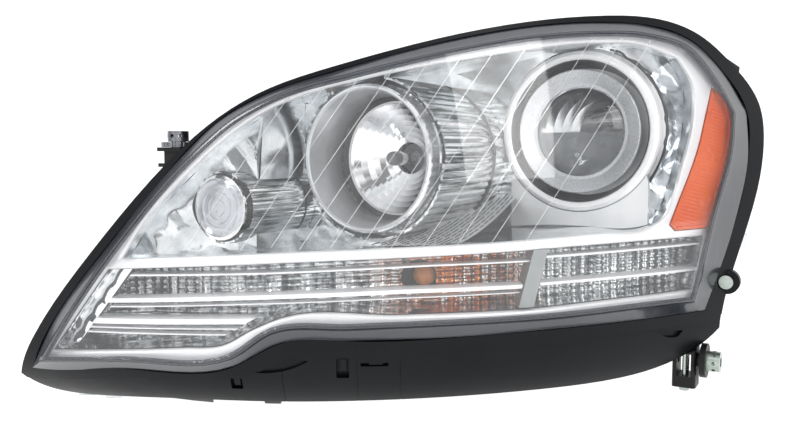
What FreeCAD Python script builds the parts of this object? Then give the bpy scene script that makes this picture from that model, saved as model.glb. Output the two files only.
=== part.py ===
import FreeCAD, Part
import math
import os

# Car headlight assembly, left-hand side. Millimetres, +Z up, -Y forward, +X outboard.
# Origin: centre of the bore in the steel sleeve of the upper inner mount.

# ---------------------------------------------------------------- driving dimensions
SWEEP = 30.0                      # the cover faces 30 degrees outboard of straight ahead
BOWL_R = 750.0                    # radius of the cover's front surface
BOWL_S, BOWL_W, BOWL_Z = 120.0, 688.0, -95.0
WALL = 3.0                        # moulded walls
COVER_DEPTH = 18.0                # skirt depth behind the front surface
SHELL_DEPTH = 100.0               # rear wall of the main shell behind the front surface
BEZEL_DEPTH = 11.0
TRAY_DEPTH = 33.0                 # floor of the upper chamber beside the position lamp
ROOM_B = (72.0, 210.0, 76.0)      # step in front of the high beam: x from, x to, rear wall y
ROOM_C = (150.0, 362.0, 213.0)    # step in front of the low beam
TRAY_WALL = 2.5
RUN = 0.06                        # radial running clearance

HB_X, HB_Y, HB_Z = 138.0, 66.0, -14.5        # high beam, front rim
LB_X, LB_Y, LB_Z = 268.8, 204.0, 8.8         # low beam, front of the trim ring
LENS_R = 40.0
POS_X, POS_Y, POS_Z = 53.0, -13.3, -52.1     # position lamp, front face

HB_WALL_Y = 222.0                 # rear wall behind the high beam
LB_WALL_Y = 322.0                 # rear wall behind the low beam
PIV = (210.0, 240.0, 62.0)        # two-axis pivot of the carrier
TILT_Z = -75.0                    # height of the tilt screw
PAN_X = 302.0                     # lateral place of the pan screw

TURN_X, TURN_Z = 165.0, -113.0    # turn signal bulb axis
LOWER = (376.6, 254.3, -191.5)    # lower outer mount, centre of the sleeve
EAR = (385.0, 274.0, -123.0)      # outer ear hole

SHARP = 38.0                      # a corner that turns more than this stays sharp

# Corners of the outline, lens frame (S, Z): on the front surface, at the rear edge of the
# skirt (18 mm back) and at the housing silhouette (34 mm back).
OUTLINE = [
    (-112, -179, -127, -189, -144, -198),
    (-86, -142, -102, -146, -120, -157),
    (-35, -76, -47, -79, -63, -86),
    (19, -15, 9, -15, -2, -19),
    (53, 15, 42, 16, 34, 13),
    (88, 34, 78, 36, 73, 37),
    (143, 50, 133, 54, 129, 57),
    (219, 69, 219, 78, 219, 82),
    (299, 84, 303, 94, 306, 99),
    (342, 88, 347, 98, 351, 104),
    (388, 88, 390, 98, 395, 105),
    (425, 79, 435, 87, 444, 93),
    (449, 56, 466, 62, 479, 68),
    (470, 25, 491, 28, 508, 33),
    (466, -6, 491, -14, 511, -2),
    (447, -62, 477, -66, 494, -65),
    (428, -134, 446, -146, 464, -164),
    (385, -135, 391, -148, 414, -192),
    (299, -139, 301, -151, 308, -206),
    (219, -141, 220, -154, 212, -209),
    (143, -143, 142, -155, 132, -211),
    (84, -146, 88, -157, 66, -212),
    (51, -167, 50, -177, 24, -212),
    (-40, -173, -48, -183, -60, -216),
    (-100, -178, -112, -189, -126, -212),
]
# Openings of the bezel face, lens frame (S, Z).
UPPER_OPENING = [
    (-37, -92), (-15, -60), (12, -31), (46, 0), (80, 23), (118, 38), (166, 50), (220, 61),
    (276, 71), (344, 80), (384, 80), (418, 70), (430, 50), (430, 20), (418, -20), (396, -66),
    (384, -72), (341, -74), (259, -79), (181, -82), (105, -85), (27, -89),
]
LOWER_OPENING = [
    (-104, -171), (-50, -101), (27, -97), (105, -93), (181, -90), (259, -87), (342, -83),
    (441, -80), (433, -126), (388, -128), (343, -130), (292, -133), (181, -135), (90, -137),
    (68, -146), (42, -160), (9, -163), (-59, -168),
]
AMBER = [
    (450, 46), (465, 36), (470, 14), (466, -7), (460, -24), (452, -50), (443, -73), (410, -74),
    (405, -69), (414, -49), (424, -28), (433, -7), (441, 18),
]

X_AXIS = FreeCAD.Vector(1, 0, 0)
Y_AXIS = FreeCAD.Vector(0, 1, 0)
Z_AXIS = FreeCAD.Vector(0, 0, 1)


# ---------------------------------------------------------------- helpers
def vec(x, y, z):
    return FreeCAD.Vector(x, y, z)


def to_car(shape):
    """Turns a shape from the lens frame into the car frame."""
    turned = shape.copy()
    turned.rotate(vec(0, 0, 0), Z_AXIS, SWEEP)
    return turned


def surface_w(s, z, depth):
    r = BOWL_R - depth
    return BOWL_W - math.sqrt(r * r - (s - BOWL_S) ** 2 - (z - BOWL_Z) ** 2)


def cyl(r, start, end):
    a, b = vec(*start), vec(*end)
    return Part.makeCylinder(r, a.distanceToPoint(b), a, b - a)


def tube(r_out, r_in, start, end):
    return cyl(r_out, start, end).cut(cyl(r_in, start, end))


def box(x0, x1, y0, y1, z0, z1):
    return Part.makeBox(x1 - x0, y1 - y0, z1 - z0, vec(x0, y0, z0))


def soften(shape, radius, direction=None):
    """Rounds the straight edges; only those along a direction when one is given."""
    edges = []
    for edge in shape.Edges:
        if not isinstance(edge.Curve, Part.Line) and not isinstance(edge.Curve, Part.LineSegment):
            continue
        along = edge.Vertexes[1].Point - edge.Vertexes[0].Point
        if direction is None or abs(along.normalize().dot(direction)) > 0.99:
            edges.append(edge)
    return shape.makeFillet(radius, edges)


def turned(profile, origin, axis=Y_AXIS):
    """Solid of revolution: profile of (radius, distance along the axis) corners."""
    start = vec(*origin)
    side = Z_AXIS if abs(axis.z) < 0.5 else X_AXIS
    points = [start + side * r + axis * t for r, t in profile]
    points.append(points[0])
    face = Part.Face(Part.makePolygon(points))
    solid = face.revolve(start, axis, 360)
    return solid if solid.Volume > 0 else solid.reversed()


def offset_corners(points, grow):
    """Moves every side of a clockwise outline outward by a distance."""
    count = len(points)
    moved = []
    for i in range(count):
        ax, az = points[i - 1]
        bx, bz = points[i]
        cx, cz = points[(i + 1) % count]
        l1 = math.hypot(bx - ax, bz - az)
        l2 = math.hypot(cx - bx, cz - bz)
        n1 = (-(bz - az) / l1, (bx - ax) / l1)
        n2 = (-(cz - bz) / l2, (cx - bx) / l2)
        scale = grow / (1.0 + n1[0] * n2[0] + n1[1] * n2[1])
        moved.append((bx + (n1[0] + n2[0]) * scale, bz + (n1[1] + n2[1]) * scale))
    return moved


def smooth_wire(points, w):
    """Closed wire in a plane across the lens frame: smooth runs between the sharp corners."""
    count = len(points)
    spots = [vec(s, w, z) for s, z in points]
    sharp = []
    for i in range(count):
        back = spots[i - 1] - spots[i]
        ahead = spots[(i + 1) % count] - spots[i]
        if math.degrees(math.pi - back.getAngle(ahead)) > SHARP:
            sharp.append(i)
    edges = []
    for k, i in enumerate(sharp):
        j = sharp[(k + 1) % len(sharp)]
        span = (j - i) % count
        run = [spots[(i + n) % count] for n in range(span + 1)]
        if len(run) == 2:
            edges.append(Part.makeLine(run[0], run[1]))
        else:
            curve = Part.BSplineCurve()
            curve.interpolate(run)
            edges.append(curve.toShape())
    return Part.Wire(edges)


def prism(points, grow=0.0, w0=-90.0, w1=260.0):
    """Straight body along the lens frame's depth with an outline grown by a distance."""
    if grow:
        points = offset_corners(points, grow)
    return Part.Face(smooth_wire(points, w0)).extrude(vec(0, w1 - w0, 0))


def ball(depth):
    return Part.makeSphere(BOWL_R - depth, vec(BOWL_S, BOWL_W, BOWL_Z))


def layer(body, near, far):
    """Part of a body between two depths behind the front surface."""
    return body.common(ball(near)).cut(ball(far))


def biggest(shape):
    return max(shape.Solids, key=lambda solid: solid.Volume)


def group(shapes):
    return Part.makeCompound(shapes)


def save(name, shape):
    shape.exportStep("parts/" + name + ".step")


def along_y(centre, dy):
    return (centre[0], centre[1] + dy, centre[2])


def ring_of(shape, centre, axis, count, start=0.0):
    """Copies of a shape spread evenly round an axis."""
    copies = []
    for i in range(count):
        copy = shape.copy()
        copy.rotate(vec(*centre), axis, start + 360.0 * i / count)
        copies.append(copy)
    return copies


def hex_prism(across, start, end):
    a, b = vec(*start), vec(*end)
    axis = (b - a).normalize()
    side = X_AXIS if abs(axis.x) < 0.5 else Y_AXIS
    points = []
    for i in range(7):
        spoke = FreeCAD.Rotation(axis, 60.0 * i).multVec(side)
        points.append(a + spoke * (across / math.sqrt(3)))
    return Part.Face(Part.makePolygon(points)).extrude(b - a)


os.makedirs("parts", exist_ok=True)
FRONT = [(a, b) for a, b, c, d, e, f in OUTLINE]
REAR = [(c, d) for a, b, c, d, e, f in OUTLINE]
SILHOUETTE = [(e, f) for a, b, c, d, e, f in OUTLINE]
FLANGE = 3.5                      # thickness of the cover's rear flange

# ---------------------------------------------------------------- cover, seal, snap tabs
crown = layer(prism(FRONT), 0, COVER_DEPTH)
flange = layer(prism(REAR), COVER_DEPTH - FLANGE, COVER_DEPTH)
hollow = prism(FRONT, -WALL).common(ball(WALL))
front_cover = crown.fuse(flange).cut(hollow)
save("front_cover", to_car(biggest(front_cover)))

seal = layer(prism(REAR, -0.6), COVER_DEPTH, COVER_DEPTH + 3).cut(prism(REAR, -4.6))
save("cover_seal", to_car(biggest(seal)))


# ---------------------------------------------------------------- housing
def apron(inset):
    """Body of revolution whose front is the rim above and the bulging apron below."""
    r_lip = BOWL_R - COVER_DEPTH + FLANGE - inset
    z_start = -158.0
    rho = math.sqrt(r_lip ** 2 - (z_start - BOWL_Z) ** 2)
    top = math.sqrt(r_lip ** 2 - (130 - BOWL_Z) ** 2)
    middle = math.sqrt(r_lip ** 2 - (20 - BOWL_Z) ** 2)
    a = vec(BOWL_S, BOWL_W - top, 130)
    b = vec(BOWL_S, BOWL_W - middle, 20)
    c = vec(BOWL_S, BOWL_W - rho, z_start)
    d = vec(BOWL_S, BOWL_W - rho + 6.5, -188)
    e = vec(BOWL_S, BOWL_W - rho + 36, -219)
    edges = [
        Part.makeLine(vec(BOWL_S, BOWL_W, 130), a),
        Part.Arc(a, b, c).toShape(),
        Part.Arc(c, d, e).toShape(),
        Part.makeLine(e, vec(BOWL_S, BOWL_W, -219)),
        Part.makeLine(vec(BOWL_S, BOWL_W, -219), vec(BOWL_S, BOWL_W, 130)),
    ]
    face = Part.Face(Part.Wire(edges))
    return face.revolve(vec(BOWL_S, BOWL_W, 0), Z_AXIS, 360)


RIM_BACK = 62.0
POCKET_X = 333.0                  # the marker's pocket lies outboard of this
# Upper edge of the apron's lower panel, lens frame (S, Z).
PANEL_TOP = [
    (-150, -203), (-112, -201), (-60, -194), (48, -186), (67, -182), (85, -173), (109, -171),
    (135, -169), (186, -166), (251, -165), (325, -164), (371, -161.5), (424, -157), (560, -140),
]
LEAF = [(64, -182), (76, -179), (85, -174), (109, -172), (93, -179.5)]
NOTCH = [(399, -160), (425, -162), (420, -167), (405, -165)]
SLOTS = ((136, -178, 10, 17), (51, -193, 9.5, 10), (161, -175, 22, 3))
FEET = ((70, -215.5, 13, 9), (-8, -218.5, 34, 9), (327, -207, 26, 10))

rim = prism(SILHOUETTE).common(apron(0)).cut(ball(RIM_BACK))
rim = rim.cut(prism(REAR, 0.5).common(ball(0)).cut(ball(COVER_DEPTH)))
rim = rim.cut(prism(REAR, -0.6).common(ball(0)).cut(ball(COVER_DEPTH + 3)))
pocket = prism(SILHOUETTE, -WALL).common(apron(7.5)).cut(prism(REAR, -4))
rim = rim.cut(pocket)
panel_edge = [vec(s, -90, z) for s, z in PANEL_TOP] + [vec(560, -90, -240), vec(-150, -90, -240)]
panel = Part.Face(Part.makePolygon(panel_edge + panel_edge[:1])).extrude(vec(0, 350, 0))
rim = rim.cut(panel.cut(apron(1.0)))
for s, z, wide, tall in FEET:
    rim = rim.fuse(Part.makeBox(wide, 40, tall, vec(s, -45, z)).common(apron(1.5)))
well = layer(prism(REAR, -4), COVER_DEPTH + 3, SHELL_DEPTH)
cavity = prism(REAR, -7).common(ball(0)).cut(ball(SHELL_DEPTH - WALL))
behind = box(-220, POCKET_X, LB_WALL_Y, 440, -240, 140)
shell = to_car(rim.fuse(well)).cut(behind)
cavity = to_car(cavity).cut(box(-220, POCKET_X + WALL, LB_WALL_Y - WALL, 440, -240, 140))
rear_space = to_car(ball(SHELL_DEPTH - 12))

hb_out = soften(box(66, 206, -20, HB_WALL_Y, -88, 56), 34, Y_AXIS)
lb_out = soften(box(186, 346, 60, LB_WALL_Y, -95, 82), 14, Y_AXIS)
hb_in = soften(box(69, 203, -20, HB_WALL_Y - WALL, -85, 53), 31, Y_AXIS)
lb_in = soften(box(189, 343, 60, LB_WALL_Y - WALL, -92, 79), 11, Y_AXIS)
mid_out = box(140, 206, -20, HB_WALL_Y, -88, 77)
mid_in = box(143, 203, -20, HB_WALL_Y - WALL, -85, 74)
rooms_out = hb_out.fuse([lb_out, mid_out]).common(rear_space)
rooms_in = hb_in.fuse([lb_in, mid_in]).common(to_car(ball(SHELL_DEPTH - 20)))

LB_COLLAR, HB_COLLAR = 46.0, 42.0
HB_CAP = (HB_X, HB_WALL_Y, HB_Z)
LB_CAP = (LB_X, LB_WALL_Y, LB_Z)
TURN = (TURN_X, 166.0, TURN_Z)
POSL = (POS_X, 98.0, POS_Z)
MARK = (470.0, 158.0, -20.0)      # lens frame
TURN_R, POSL_R, MARK_R = 13.0, 9.0, 9.0

collars = []
bores = []
for centre, radius in ((LB_CAP, LB_COLLAR), (HB_CAP, HB_COLLAR)):
    collars.append(cyl(radius, along_y(centre, -WALL), along_y(centre, 14)))
    bores.append(cyl(radius - WALL, along_y(centre, -6), along_y(centre, 15)))
    for angle in (90, 210, 330):
        lug = Part.makeCylinder(radius + 2.6, 4, vec(*along_y(centre, 4)), Y_AXIS, 10)
        lug = lug.cut(cyl(radius - 1, along_y(centre, 3), along_y(centre, 9)))
        lug.rotate(vec(*centre), Y_AXIS, angle)
        collars.append(lug)
for centre, radius in ((TURN, TURN_R), (POSL, POSL_R)):
    collars.append(cyl(radius + 3, along_y(centre, -70), centre).common(rear_space))
    bores.append(cyl(radius, along_y(centre, -62), along_y(centre, 1)))
collars.append(to_car(cyl(MARK_R + 3, along_y(MARK, -50), MARK).common(ball(SHELL_DEPTH - 12))))
bores.append(to_car(cyl(MARK_R, along_y(MARK, -55), along_y(MARK, 1))))

# Mount lugs, stiffening ribs inside the apron, holes for the aiming screws.
PX, PY, PZ = PIV
STUD_R = 3.5
TILT = (PX, PY, TILT_Z)
PAN = (PAN_X, PY, PZ)
LX, LY, LZ = LOWER
EX, EY, EZ = EAR
extras = []
for s in (40, 110, 180, 250, 320, 390):
    rib = Part.makeBox(2.5, 110, 60, vec(s, -60, -217))
    rib = rib.common(prism(SILHOUETTE, -1)).common(apron(3)).cut(ball(RIM_BACK - 2))
    extras.append(to_car(rib.cut(prism(REAR, 1.0))))
ear = cyl(11, (EX, EY - 4, EZ), (EX, EY + 4, EZ))
extras.append(ear.fuse(box(EX - 16, EX, EY - 4, EY + 4, EZ - 11, EZ + 11)))
bores.append(cyl(5.0, (EX, EY - 9, EZ), (EX, EY + 5, EZ)))
for centre in (TILT, PAN):
    wall_spot = (centre[0], LB_WALL_Y, centre[2])
    extras.append(cyl(8, along_y(wall_spot, -9), wall_spot))
    bores.append(cyl(STUD_R + RUN, along_y(wall_spot, -12), along_y(wall_spot, 2)))

# Blind slots, leaf-shaped recess, notch and moulding seams in the apron's face.
for s, z, wide, tall in SLOTS:
    slot = soften(Part.makeBox(wide, 90, tall, vec(s - wide / 2, -70, z - tall / 2)), 1.0, Y_AXIS)
    latch = Part.makeBox(wide * 0.5, 90, tall * 0.6, vec(s - wide * 0.2, -70, z - tall * 0.15))
    bores.append(to_car(slot.cut(apron(5.5)).cut(latch.common(apron(2.2)))))
bores.append(to_car(prism(LEAF, w1=40.0).cut(apron(3.5))))
bores.append(to_car(prism(NOTCH, w1=120.0).cut(apron(4.0))))
for s in (88.0, 147.0, 181.0):
    bores.append(to_car(Part.makeBox(0.8, 90, 60, vec(s, -70, -232)).cut(apron(1.6))))

# Screws of the brackets and their holes.
LOWER_SCREWS = [(LX - 21, LY - 5.5), (LX - 21, LY + 5.5)]
screws = []
for x, y in LOWER_SCREWS:
    screws.append(cyl(4.2, (x, y, LZ - 27), (x, y, LZ - 24)).fuse(cyl(2.0, (x, y, LZ - 24), (x, y, LZ + 22))))
    bores.append(cyl(2.1, (x, y, LZ - 30), (x, y, LZ + 23)))
bores.append(cyl(7.0, (EX, EY - 60, EZ), (EX, EY - 4, EZ)))
bores.append(cyl(14.2, (0, 0, -8), (0, 0, 9)))
bores.append(cyl(3.6, (0, 0, -60), (0, 0, 20)))
ear_screw = cyl(6.0, along_y(EAR, -8), along_y(EAR, -4.5)).fuse(cyl(2.4, along_y(EAR, -4.5), along_y(EAR, 5)))
screws.append(ear_screw.fuse(cyl(3.0, along_y(EAR, 4.5), along_y(EAR, 12.5))))
bores.append(cyl(7.5, along_y(EAR, 4), along_y(EAR, 60)))

housing = shell.fuse([rooms_out] + collars + extras)
housing = housing.cut([rooms_in, cavity] + bores)
housing = biggest(housing)
save("housing", housing)
save("housing_screws", group(screws))

# ---------------------------------------------------------------- mounts and brackets
outline_body = to_car(prism(SILHOUETTE))
sleeve = tube(8.5, 3.3, (0, 0, -0.5), (0, 0, 8)).fuse(tube(6.0, 3.3, (0, 0, -8), (0, 0, -0.5)))
pin_hole = cyl(1.6, (0, 0, 4), (12, 0, 4))
sleeve = sleeve.cut(ring_of(pin_hole, (0, 0, 0), Z_AXIS, 8, 10))
save("upper_inner_sleeve", sleeve)
washer = tube(13.5, 6.0 + RUN, (0, 0, -5.0), (0, 0, -0.9))
grip = cyl(1.5, (14.2, 0, -6), (14.2, 0, 0))
washer = washer.cut(ring_of(grip, (0, 0, 0), Z_AXIS, 12))
save("upper_inner_washer", washer)
bracket = box(-13, 13, -11, 11, -8.3, -5.2)
bracket = bracket.fuse(soften(box(-9, 9, -9, 9, -18, -8.3), 3, Z_AXIS))
bracket = bracket.fuse(box(-12, 16, -11, 11, -21, -18))
bracket = bracket.fuse(box(-6, 16, 6, 11, -40, -21))
bracket = bracket.cut(cyl(6.0, (0, 0, -8.0), (0, 0, 0))).cut(cyl(4.6, (0, 0, -60), (0, 0, 0)))
bracket = bracket.cut(outline_body)
save("upper_inner_bracket", biggest(bracket))

LB = soften(box(LX - 31, LX - 11, LY - 11, LY + 11, LZ - 24, LZ + 30), 3, Z_AXIS)
arm = LB.fuse(cyl(6.0, (LX - 11, LY, LZ), (LX - 8, LY, LZ)))
arm = arm.fuse(tube(15, 5.0, (LX - 8, LY, LZ), (LX - 3, LY, LZ)))
arm = arm.cut(box(LX - 27, LX - 15, LY - 12, LY + 12, LZ - 14, LZ + 6))
arm = arm.cut([outline_body, cyl(4.5, (LX - 32, LY, LZ), (LX - 2, LY, LZ))] + screws[:2])
save("lower_outer_bracket", biggest(arm))
lower_sleeve = tube(9, 4.2, (LX - 3, LY, LZ), (LX + 8, LY, LZ))
lower_sleeve = lower_sleeve.fuse(tube(4.5, 4.2, (LX - 12, LY, LZ), (LX - 3, LY, LZ)))
pin_hole = cyl(1.5, (LX + 3, LY, LZ), (LX + 3, LY, LZ + 14))
save("lower_outer_sleeve", lower_sleeve.cut(ring_of(pin_hole, LOWER, X_AXIS, 8)))
save("outer_ear_insert", tube(5.0, 3.0, (EX, EY - 4.5, EZ), (EX, EY + 4, EZ)))
clip_corners = [(466, 56), (466, 76), (479, 76), (491, 68), (490, 56)]
clip_outline = Part.makePolygon([vec(s, 82, z) for s, z in clip_corners + clip_corners[:1]])
clip = Part.Face(clip_outline).extrude(vec(0, 16, 0))
clip = clip.cut(Part.makeBox(7, 10, 5, vec(478, 90, 62)))
save("upper_outer_clip", to_car(biggest(clip.cut(prism(SILHOUETTE)))))

tabs = []
for s, z, wide, tall in ((-101, -218, 15, 8), (-74, -218, 13, 8), (212, -209.5, 12, 7), (238, -209, 10, 7)):
    tabs.append(Part.makeBox(wide, 12, tall, vec(s, surface_w(s, z, 47), z - tall / 2)))
for z in (-70, -90):
    tabs.append(Part.makeBox(10, 12, 13, vec(488, surface_w(490, z, 30), z - 6)))
tabs = [biggest(tab.cut(prism(SILHOUETTE))) for tab in tabs]
tabs = [to_car(tab) for tab in tabs]
save("cover_tabs", group(tabs))

# ---------------------------------------------------------------- bezel
HB = (HB_X, HB_Y, HB_Z)
LOW = (LB_X, LB_Y, LB_Z)
POS = (POS_X, POS_Y, POS_Z)
HB_SHROUD_R, LB_HOLE_R, POS_SHROUD_R = 65.0, 72.0, 27.0
SHROUD_WALL = 2.0
GAP = 0.3


def step_room(room, grow):
    x0, x1, y1 = room
    return box(x0 - grow, x1 + grow, -90, y1 + grow, -140, 140)


opening = to_car(prism(UPPER_OPENING))
tray_block = to_car(prism(UPPER_OPENING, TRAY_WALL).common(ball(BEZEL_DEPTH)))
tray = tray_block.cut(to_car(ball(TRAY_DEPTH + TRAY_WALL)))
for room in (ROOM_B, ROOM_C):
    tray = tray.fuse(tray_block.common(step_room(room, TRAY_WALL)))
tray = tray.cut(opening.cut(to_car(ball(TRAY_DEPTH))))
for room in (ROOM_B, ROOM_C):
    tray = tray.cut(opening.common(step_room(room, 0)))
face = layer(prism(FRONT, -4.2), BEZEL_DEPTH, BEZEL_DEPTH + TRAY_WALL)
face = face.cut(prism(AMBER, 0.8)).cut(prism(UPPER_OPENING, 1.0)).cut(prism(LOWER_OPENING, 1.0))
low_wall = layer(prism(LOWER_OPENING, 2.0), BEZEL_DEPTH, 46).cut(prism(LOWER_OPENING))
cover_clear = to_car(prism(FRONT, -3.6))
bezel = to_car(face.fuse(low_wall)).fuse(tray).common(cover_clear)
hb_back = ROOM_C[2] - GAP
lb_front = along_y(LOW, -200)
bezel = bezel.cut(cyl(HB_SHROUD_R + SHROUD_WALL + GAP, along_y(HB, -150), (HB_X, hb_back + 0.1, HB_Z)))
bezel = bezel.cut(cyl(HB_SHROUD_R - 4 + SHROUD_WALL + GAP, along_y(HB, 100), along_y(HB, 170)))
bezel = bezel.cut(cyl(POS_SHROUD_R + 1.5 + GAP, along_y(POS, -100), along_y(POS, 100)))
bezel = bezel.cut(cyl(LB_HOLE_R, lb_front, along_y(LOW, 60)))
save("bezel", biggest(bezel))

# Shells round the lamps, standing in the stepped rooms.
taper, end = 94.0, hb_back - HB_Y
start = ROOM_B[2] - GAP - HB_Y
hb_shroud = turned([
    (HB_SHROUD_R, start), (HB_SHROUD_R, taper), (HB_SHROUD_R - 4, end),
    (HB_SHROUD_R - 4 + SHROUD_WALL, end), (HB_SHROUD_R + SHROUD_WALL, taper),
    (HB_SHROUD_R + SHROUD_WALL, start)], HB)
inner_opening = to_car(prism(UPPER_OPENING, -0.5))
hb_shroud = hb_shroud.common(inner_opening).cut(cyl(LB_HOLE_R + 1, along_y(LOW, 1), along_y(LOW, 30)))
save("high_beam_shroud", biggest(hb_shroud))
pos_shroud = tube(POS_SHROUD_R + 1.5, POS_SHROUD_R, along_y(POS, 6), (POS_X, ROOM_B[2] - GAP, POS_Z))
pos_shroud = pos_shroud.cut(to_car(ball(94))).common(inner_opening)
pos_shroud = pos_shroud.cut(cyl(HB_SHROUD_R + SHROUD_WALL + 2 * GAP, along_y(HB, -90), along_y(HB, 90)))
save("position_lamp_shroud", biggest(pos_shroud))
collar = soften(box(208, 330, LB_Y + 2, hb_back, -90, -20), 16, Y_AXIS).common(inner_opening)
collar = collar.cut(cyl(LB_HOLE_R - 1.7, lb_front, along_y(LOW, 60)))
collar = collar.cut(cyl(HB_SHROUD_R + SHROUD_WALL + GAP, HB, along_y(HB, 180)))
save("low_beam_collar", biggest(collar))

divider = [(286, -84), (298, -84), (286.5, -131), (274.5, -131)]
low_room = prism(LOWER_OPENING)
bar_body = layer(prism(divider), 9.5, 44).common(low_room)
save("turn_divider", to_car(biggest(bar_body)))
LOUVRES = [
    (14, [(-60, -106.5), (75, -101.5), (200, -96.0), (292, -94.0),
          (292, -96.5), (200, -98.5), (75, -104), (-60, -109)]),
    (12, [(-75, -127), (66, -119), (181, -114.5), (282, -113),
          (282, -117.5), (181, -119), (66, -124), (-75, -132)]),
    (12, [(-85, -147), (69, -137), (60, -142), (-85, -152)]),
    (14, [(290, -91), (437, -86.2), (437, -88.2), (290, -93.5)]),
    (12, [(288, -112), (437, -107.4), (437, -110.4), (288, -115.5)]),
]
bars = []
for near, points in LOUVRES:
    bar = layer(prism(points), near, 30).common(low_room).common(prism(FRONT, -3.6)).cut(prism(divider))
    bars.append(to_car(biggest(bar)))
save("turn_louvres", group(bars))

tub = layer(prism(LOWER_OPENING, 1.5), 46, 84).cut(prism(LOWER_OPENING, -1.5).common(ball(0)).cut(ball(81)))
tub = to_car(tub).cut(cyl(TURN_R + 1, along_y(TURN, -120), TURN))
save("turn_reflector", biggest(tub))

amber_body = prism(AMBER).common(prism(FRONT, -5.0))
amber = layer(amber_body, 8, 20).cut(layer(prism(AMBER, -2.4).common(prism(FRONT, -7.4)), 11, 24))
save("side_reflector", to_car(biggest(amber)))

# ---------------------------------------------------------------- low-beam trim and lamps
save("low_beam_trim", turned([
    (59.5, 6), (60.5, 2.5), (63, 0.4), (66, 0), (69, 1.6), (70, 4.5), (70, 12), (71.9, 12),
    (71.9, 14), (62, 14), (59.5, 10)], LOW))
save("high_beam_tube", turned([
    (55.6, 1.2), (56.6, 0.2), (58.4, 0), (60, 1.2), (60.2, 3), (60.2, 15), (61.6, 16), (61.6, 20),
    (60.2, 21), (60.2, 34), (64.9, 34), (64.9, 36.5), (55.5, 42.5), (52.2, 43)], HB))

rings = [(0, 1.5), (3, 1.5), (3.6, 0.4), (6.4, 0.4), (7.0, 1.5), (9.0, 1.5), (9.6, 0.4), (12.4, 0.4),
         (13.0, 1.5), (15.0, 1.5), (15.6, 0.4), (18.4, 0.4), (19.0, 1.5), (21.5, 0), (23, 1.0), (23, 9),
         (20.5, 9), (20.5, 5), (0, 5)]
save("position_lamp_lens", turned(rings, POS))
save("position_lamp_cup", turned([
    (23.0, 3), (25.5, 3), (25.5, 22), (13.5, 42), (13.5, 74), (11.5, 74), (11.5, 41), (23.0, 21)], POS))

FOCAL = 27.0


def bowl(origin, r_front, r_neck, t_front, wall, neck_end, flange_r, flange_t):
    """Parabolic reflector: opening at the front, a neck and a flange at the back."""
    inside = []
    for i in range(9):
        r = r_front + (r_neck - r_front) * i / 8.0
        inside.append((r, t_front + (r_front ** 2 - r ** 2) / (4 * FOCAL)))
    end = inside[-1][1]
    outside = [(r_front + 5, t_front), (r_front + 5, t_front + wall)]
    for r, t in inside[1:-1]:
        outside.append((r + 1.2, t + wall))
    outside += [(r_neck + wall, end + wall), (r_neck + wall, flange_t), (flange_r, flange_t)]
    outside += [(flange_r, neck_end), (r_neck, neck_end)]
    return turned(inside + outside[::-1], origin)


HB_PLATE = 88.0                   # carrier plate behind the high-beam bowl, from its rim
LB_PLATE = 30.0                   # carrier plate behind the lens, from the trim's front
save("high_beam_reflector", bowl(HB, 52.0, 14.0, 52.0, 2.5, HB_PLATE, 30, HB_PLATE - 3))
save("projector_reflector", bowl(LOW, 47.0, 14.0, LB_PLATE + 4, 2.5, 96.0, 24, 92.0))
HB_SEAT, LB_SEAT = HB_PLATE, 96.0


def lamp_bulb(origin, seat):
    """Single-filament bulb: glass with a dark tip, standing forward of its seat."""
    glass = cyl(6.0, along_y(origin, seat - 42), along_y(origin, seat - 2))
    glass = glass.fuse(Part.makeSphere(6.0, vec(*along_y(origin, seat - 42))))
    return glass


def lamp_base(origin, seat):
    base = cyl(13.0, along_y(origin, seat - 2), along_y(origin, seat + 2.0))
    base = base.fuse(cyl(9.0, along_y(origin, seat + 2), along_y(origin, seat + 9)))
    x, y, z = along_y(origin, seat + 9)
    base = base.fuse(box(x - 6, x + 6, y, y + 3, z - 6, z + 6))
    for side in (-3.0, 3.0):
        base = base.fuse(box(x + side - 0.4, x + side + 0.4, y + 3, y + 10, z - 3, z + 3))
    return base


CLIP_DROP = 20.0                  # hinge line of the bulb clip below the bulb axis
CLIP_BACK = 7.6                   # and behind the bulb's seat


def bulb_clip(origin, seat):
    """Sprung wire fork over the bulb's base, hinged on the pin below it."""
    x, y, z = along_y(origin, seat + CLIP_BACK)
    low = z - CLIP_DROP
    wire = tube(2.6, 1.5 + RUN, (x - 8, y, low), (x + 8, y, low))
    for side in (-10.6, 10.6):
        wire = wire.fuse(cyl(0.9, (x + side, y, low + 2.6), (x + side, y, z + 14)))
    for height in (low + 2.8, z + 14):
        wire = wire.fuse(cyl(1.1, (x - 12, y, height), (x + 12, y, height)))
    return wire


def clip_lugs(origin, seat, plate):
    x, y, z = along_y(origin, seat + CLIP_BACK)
    low = z - CLIP_DROP
    lugs = cyl(1.5, (x - 13.5, y, low), (x + 13.5, y, low))
    for x0, x1 in ((x - 15.5, x - 12.5), (x + 12.5, x + 15.5)):
        lugs = lugs.fuse(box(x0, x1, origin[1] + plate, y + 3, low - 3, low + 3))
    return lugs


for name, origin, seat in (("high_beam", HB, HB_SEAT), ("low_beam", LOW, LB_SEAT)):
    save(name + "_bulb", lamp_bulb(origin, seat))
    save(name + "_base", lamp_base(origin, seat))
    save(name + "_clip", bulb_clip(origin, seat))

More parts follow.
